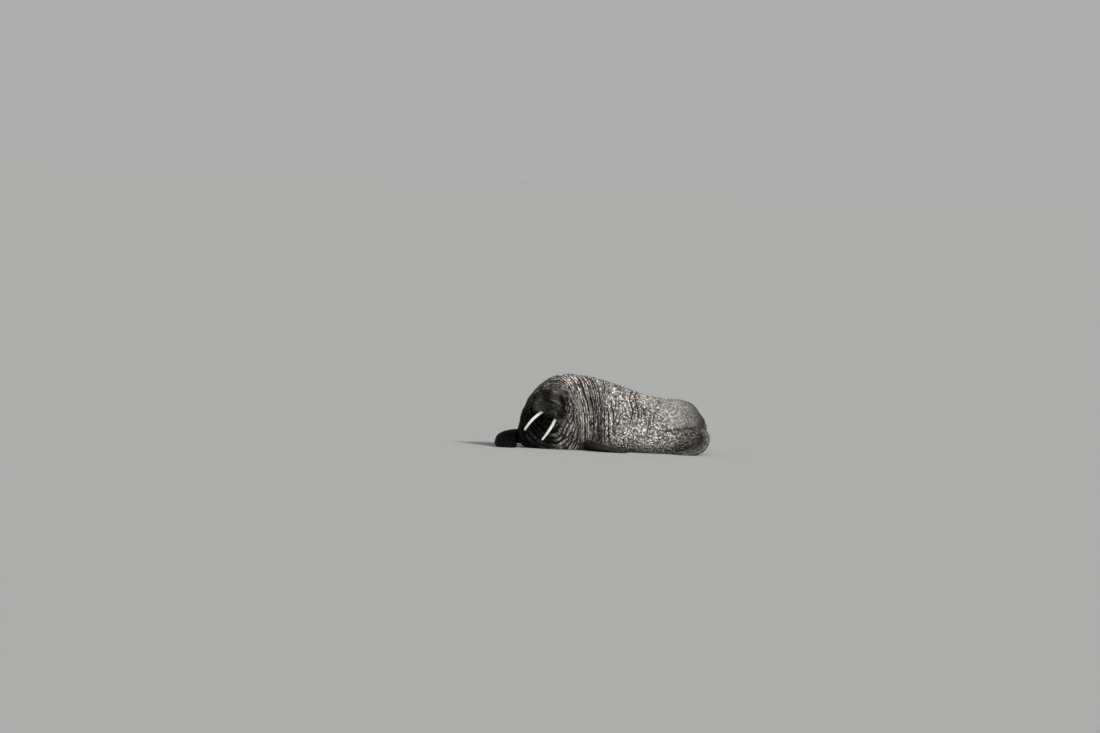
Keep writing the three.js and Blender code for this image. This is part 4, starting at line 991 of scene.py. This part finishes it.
# The fine lines and stains along anything that grows from its root, such as ivory and horn.
growth = bpy.data.node_groups.new("growth lines", "ShaderNodeTree")
growth.interface.new_socket("Along", in_out="INPUT", socket_type="NodeSocketVector")
growth.interface.new_socket("Stretch", in_out="INPUT", socket_type="NodeSocketFloat")
growth.interface.new_socket("Lines", in_out="OUTPUT", socket_type="NodeSocketFloat")
growth.interface.new_socket("Stains", in_out="OUTPUT", socket_type="NodeSocketFloat")
given, made = growth.nodes.new("NodeGroupInput"), growth.nodes.new("NodeGroupOutput")
stretch = shader_node(growth, "CombineXYZ", {"X": 1.0, "Y": 1.0, "Z": given.outputs["Stretch"]}).outputs[0]
stretched = {0: given.outputs["Along"], 1: stretch}
thin = shader_node(growth, "VectorMath", stretched, operation="MULTIPLY").outputs[0]
lines = shader_node(growth, "TexNoise", {"Vector": thin, "Scale": 7.0, "Detail": 4.0}).outputs["Fac"]
lines = math_node(growth, "ABSOLUTE", math_node(growth, "SUBTRACT", lines, 0.5))
growth.links.new(smooth_step(growth, lines, 0.0, 0.035), made.inputs["Lines"])
stains = shader_node(growth, "TexNoise", {"Vector": thin, "Scale": 1.6, "Detail": 5.0}).outputs["Fac"]
growth.links.new(smooth_step(growth, stains, 0.35, 0.7), made.inputs["Stains"])


def growth_lines(tree, stretch):
    """Places the growth lines in a material, stretched along the piece, and gives their outputs."""
    placed = tree.nodes.new("ShaderNodeGroup")
    placed.node_tree = growth
    placed.inputs["Stretch"].default_value = stretch
    tree.links.new(read(tree, "lie", "Vector"), placed.inputs["Along"])
    return placed.outputs


ivory, tree, shader = new_material("ivory", roughness=0.32, coat_weight=0.2, coat_roughness=0.25)
growing = growth_lines(tree, 0.35)
stained = mixed(tree, growing["Stains"], (0.97, 0.96, 0.93, 1), (0.92, 0.89, 0.82, 1))
cracked = mixed(tree, growing["Lines"], (0.85, 0.81, 0.73, 1), stained)
rooted = mixed(tree, smooth_step(tree, read(tree, "along"), 0.13, 0.26), (0.34, 0.26, 0.18, 1), cracked)
tree.links.new(rooted, shader.inputs["Base Color"])
bump = shader_node(tree, "Bump", {"Strength": 0.6, "Distance": 0.0008, "Height": growing["Lines"]})
tree.links.new(bump.outputs[0], shader.inputs["Normal"])
for word, side in SIDES:
    def this_tusk(spot, angle, reach):
        return tusk_point(side, spot, angle, reach)

    tusk, down, turn = drawn_out("tusk_" + word + "_ivory", 48, 120, 1, this_tusk)
    attribute(tusk, "along", down)
    attribute(tusk, "lie", np.stack([np.cos(turn), np.sin(turn), down * 3 + side * 5], -1))
    face_outwards(tusk)
    bpy.ops.object.shade_smooth()
    tusk.data.materials.append(ivory)
    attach(tusk, "root")
    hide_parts("tusk_" + word)

# The claws.
# Small nails of dark horn, one on the back of each digit, short of its edge. The middle three of each hind
# flipper are the longest. Each is one closed, tapered length, with its root sunk in the skin.
CLAW_FROM, CLAW_TO, CLAW_BEND, CLAW_SUNK, CLAW_LIFT, CLAW_TIP_LIFT = 0.86, 0.93, 0.55, 0.006, 0.005, 0.002
CLAW_ROOT, CLAW_TIP, CLAW_STEPS, CLAW_AROUND = 0.0055, 0.0014, 10, 12


def tapered(name, middles, radii, around):
    """One piece of closed tapered lengths, each along its row of middles, with these radii.

    Its points know how far along they are, and lie on a circle of 1, each length a little further on.
    """
    count, steps = middles.shape[:2]
    ahead = unit(np.gradient(middles, axis=1))
    side = unit(np.cross(ahead, np.where(np.abs(ahead[:, :, 2:]) > 0.9, (1, 0, 0), (0, 0, 1))))
    over = np.cross(side, ahead)
    turn = np.arange(around) / around * 2 * math.pi
    rings = middles[:, :, None] + radii[..., None, None] * (
        np.cos(turn)[:, None] * side[:, :, None] + np.sin(turn)[:, None] * over[:, :, None]
    )
    points = np.concatenate([rings.reshape(count, -1, 3), middles[:, :1], middles[:, -1:]], axis=1)
    size = points.shape[1]
    faces, sides = [], [(k, (k + 1) % around) for k in range(around)]
    for first in range(0, count * size, size):
        last = first + (steps - 1) * around
        for ring in range(first, last, around):
            faces += [(ring + a, ring + around + a, ring + around + b, ring + b) for a, b in sides]
        faces += [(first + size - 2, first + a, first + b) for a, b in sides]
        faces += [(first + size - 1, last + b, last + a) for a, b in sides]
    mesh = bpy.data.meshes.new(name)
    mesh.from_pydata((HOME + points.reshape(-1, 3)).tolist(), [], faces)
    piece = bpy.data.objects.new(name, mesh)
    bpy.context.scene.collection.objects.link(piece)
    shares = np.concatenate([np.repeat(np.linspace(0, 1, steps), around), [0, 1]])
    turns = np.concatenate([np.tile(turn, steps), [0, 0]])
    lie = np.stack([np.cos(turns), np.sin(turns), shares], -1)
    lie = np.tile(lie, (count, 1, 1)) + (np.arange(count) * 1.7)[:, None, None] * (0, 0, 1)
    attribute(piece, "lie", lie.reshape(-1, 3))
    attribute(piece, "along", np.tile(shares, count))
    face_outwards(piece)
    bpy.ops.object.shade_smooth()
    return piece


def curve_through(start, middle, end, steps):
    """Points along the curve that starts at one place, leans to the next and ends at the last."""
    share = np.linspace(0, 1, steps)[None, :, None]
    start, middle, end = start[:, None], middle[:, None], end[:, None]
    return (1 - share) ** 2 * start + 2 * share * (1 - share) * middle + share**2 * end


starts, leans, ends = [], [], []
for limb in FLIPPERS.values():
    places_across = (2 * np.arange(DIGITS) + 1 - DIGITS) / DIGITS
    last = len(limb[0]) - 1
    start, further = (
        flipper_point(limb, np.full(DIGITS, share * last), places_across, np.ones(DIGITS))
        for share in (CLAW_FROM, CLAW_TO)
    )
    ahead = unit(further - start)
    long = np.array(limb[5])[:, None]
    starts.append(start - (0, 0, CLAW_SUNK))
    leans.append(start + ahead * long * CLAW_BEND + (0, 0, CLAW_LIFT))
    ends.append(start + ahead * long + (0, 0, CLAW_TIP_LIFT))
middles = curve_through(np.concatenate(starts), np.concatenate(leans), np.concatenate(ends), CLAW_STEPS)
radii = np.linspace(CLAW_ROOT, CLAW_TIP, CLAW_STEPS) * np.ones((len(middles), 1))
claws = tapered("claws", middles, radii, CLAW_AROUND)
horn, tree, shader = new_material("horn", roughness=0.4)
to_tip = smooth_step(tree, read(tree, "along"), 0.2, 1.0)
streaked = math_node(tree, "MULTIPLY", growth_lines(tree, 0.4)["Lines"], to_tip)
horny = mixed(tree, streaked, (0.02, 0.017, 0.014, 1), (0.14, 0.12, 0.09, 1))
tree.links.new(horny, shader.inputs["Base Color"])
claws.data.materials.append(horn)
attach(claws, "root")

# The whiskers.
# Over four hundred stiff bristles in rows on both pads, short at the nose and long at the outer, lower edge.
# Each is one bent, tapered length of horn, dark at its root, which is sunk in the pad, and paler further out.
WHISKER_ROWS, WHISKERS_IN_ROW = 13, 19
# In degrees: how far the rows run, from the nose outwards and from the pad's foot up, and how far they stray.
WHISKER_TURN, WHISKER_TILT, WHISKER_STRAY = (-44, 104), (-62, 34), 2.5
WHISKER_SUNK, WHISKER_SHORT, WHISKER_LONG, WHISKER_VARY = 0.008, 0.016, 0.078, 0.28
WHISKER_BEND, WHISKER_HANG, WHISKER_SWEEP, WHISKER_SPRAY = 0.55, 0.45, 0.25, 0.12
WHISKER_ROOT, WHISKER_TIP, WHISKER_STEPS, WHISKER_AROUND = 0.0013, 0.0003, 5, 5
# How wide the patch of texture is that the faces of one whisker share.
PATCH = 0.003
draw = np.random.default_rng(1207)
bristle, tree, shader = new_material("bristle", roughness=0.35)
outwards = smooth_step(tree, read(tree, "along"), 0.0, 0.55)
pale = mixed(tree, outwards, (0.012, 0.011, 0.009, 1), (0.11, 0.103, 0.09, 1))
tree.links.new(pale, shader.inputs["Base Color"])
for word, side in SIDES:
    turns, tilts = [], []
    for row in range(WHISKER_ROWS):
        up = (row + 0.5) / WHISKER_ROWS
        tilt = WHISKER_TILT[0] + (WHISKER_TILT[1] - WHISKER_TILT[0]) * up
        count = round(WHISKERS_IN_ROW * math.sqrt(math.cos(math.radians(tilt))))
        steps = (np.arange(count) + 0.5 * (row % 2) + 0.25) / count
        turn = WHISKER_TURN[0] + (WHISKER_TURN[1] - WHISKER_TURN[0]) * steps
        turns += list(turn + draw.uniform(-WHISKER_STRAY, WHISKER_STRAY, count))
        tilts += list(tilt + draw.uniform(-WHISKER_STRAY, WHISKER_STRAY, count))
    turn, tilt = np.radians(turns), np.radians(tilts)
    outer = rise(np.degrees(turn), *WHISKER_TURN)
    low = fall(np.degrees(tilt), -40, 40)
    direction = np.stack([np.sin(turn) * np.cos(tilt), np.cos(turn) * np.cos(tilt), np.sin(tilt)], -1)
    root = pad_point(1, direction)
    long = WHISKER_SHORT + (WHISKER_LONG - WHISKER_SHORT) * outer * (0.25 + 0.75 * low)
    long = long * (1 + WHISKER_VARY * draw.uniform(-1, 1, len(long)))
    stray = draw.uniform(-WHISKER_SPRAY, WHISKER_SPRAY, (len(long), 3))
    ahead = unit(direction + (WHISKER_SWEEP, 0, -WHISKER_HANG) + stray)
    tip = root + ahead * long[:, None] + np.outer(long, (0.05, -0.12, -WHISKER_HANG / 2))
    start, lean = root - ahead * WHISKER_SUNK, root + ahead * long[:, None] * WHISKER_BEND
    middles = curve_through(*(from_head(spot * (side, 1, 1)) for spot in (start, lean, tip)), WHISKER_STEPS)
    radii = np.linspace(1, 0, WHISKER_STEPS) * (WHISKER_ROOT - WHISKER_TIP) + WHISKER_TIP
    whiskers = tapered("whiskers_" + word, middles, radii * (0.75 + 0.5 * outer[:, None]), WHISKER_AROUND)

    # Each whisker's faces lie in a small patch of their own in the OFBake map.
    unwrap = whiskers.data.uv_layers.new(name="OFBake")
    owner = np.empty(len(whiskers.data.loops), np.int32)
    whiskers.data.loops.foreach_get("vertex_index", owner)
    size = WHISKER_STEPS * WHISKER_AROUND + 2
    one, point = owner // size, owner % size
    patch = np.stack([point / size, (point % WHISKER_AROUND) / WHISKER_AROUND], -1) * PATCH
    at = np.stack([rise(np.degrees(turn), -50, 110), rise(np.degrees(tilt), -70, 40)], -1)[one] * 0.9 + 0.05
    unwrap.data.foreach_set("uv", (at + patch).astype(np.float32).ravel())
    whiskers.data.materials.append(bristle)
    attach(whiskers, "root")

# The floor, the light and the view.
# A plain pale floor under a soft sky that meets it in the same tone. One soft light stands high on the right,
# and a broader one low in front. The camera is far off with a long lens, a little above the floor and tilted.
PHOTO_WIDTH, PHOTO_HEIGHT = 1100, 733
METRES_PER_PIXEL = 0.0125
VIEW_DOWN, VIEW_ROLL = math.radians(1.2), math.radians(2.58)
ORIGIN_PIXEL = (600, 450.4)
LENS, SENSOR = 300, 36
KEY_FROM, KEY_ENERGY, KEY_SOFT = (0.62, -0.72, 0.52), 2.9, math.radians(9)
FILL_FROM, FILL_ENERGY, FILL_SOFT = (-0.05, -1, 0.14), 1.4, math.radians(50)

bpy.ops.mesh.primitive_plane_add(size=6000)
floor = bpy.context.object
floor.name = "floor"
pale_floor, tree, shader = new_material("pale floor", base_color=(0.47, 0.47, 0.46, 1), roughness=0.95)
floor.data.materials.append(pale_floor)

sky = bpy.data.worlds.new("soft sky")
sky.use_nodes = True
tree = sky.node_tree
direction = shader_node(tree, "TexCoord").outputs["Generated"]
height = shader_node(tree, "SeparateXYZ", {0: direction}).outputs["Z"]
tree.links.new(smooth_step(tree, height, 0.05, 0.5, 0.38, 0.24), tree.nodes["Background"].inputs["Strength"])
tree.nodes["Background"].inputs["Color"].default_value = (1, 1, 1, 1)
bpy.context.scene.world = sky
bpy.context.scene.view_settings.view_transform = "Standard"
bpy.context.scene.view_settings.look = "Medium High Contrast"

for name, comes_from, energy, softness in (
    ("key_light", KEY_FROM, KEY_ENERGY, KEY_SOFT), ("fill_light", FILL_FROM, FILL_ENERGY, FILL_SOFT),
):
    bpy.ops.object.light_add(type="SUN")
    light = bpy.context.object
    light.name = name
    light.data.energy = energy
    light.data.angle = softness
    light.rotation_euler = Vector(comes_from).to_track_quat("Z", "Y").to_euler()

into_view = Vector((0, math.cos(VIEW_DOWN), -math.sin(VIEW_DOWN)))
turned = into_view.to_track_quat("-Z", "Y").to_matrix() @ Matrix.Rotation(VIEW_ROLL, 3, "Z")
distance = METRES_PER_PIXEL * PHOTO_WIDTH * LENS / SENSOR
off_middle = Vector((PHOTO_WIDTH / 2 - ORIGIN_PIXEL[0], ORIGIN_PIXEL[1] - PHOTO_HEIGHT / 2, 0))
bpy.ops.object.camera_add()
camera = bpy.context.object
camera.data.lens = LENS
camera.data.sensor_width = SENSOR
camera.data.clip_end = 5000
place = Vector(HOME) + turned @ (off_middle * METRES_PER_PIXEL) - into_view * distance
camera.matrix_world = Matrix.Translation(place) @ turned.to_4x4()
bpy.context.scene.camera = camera
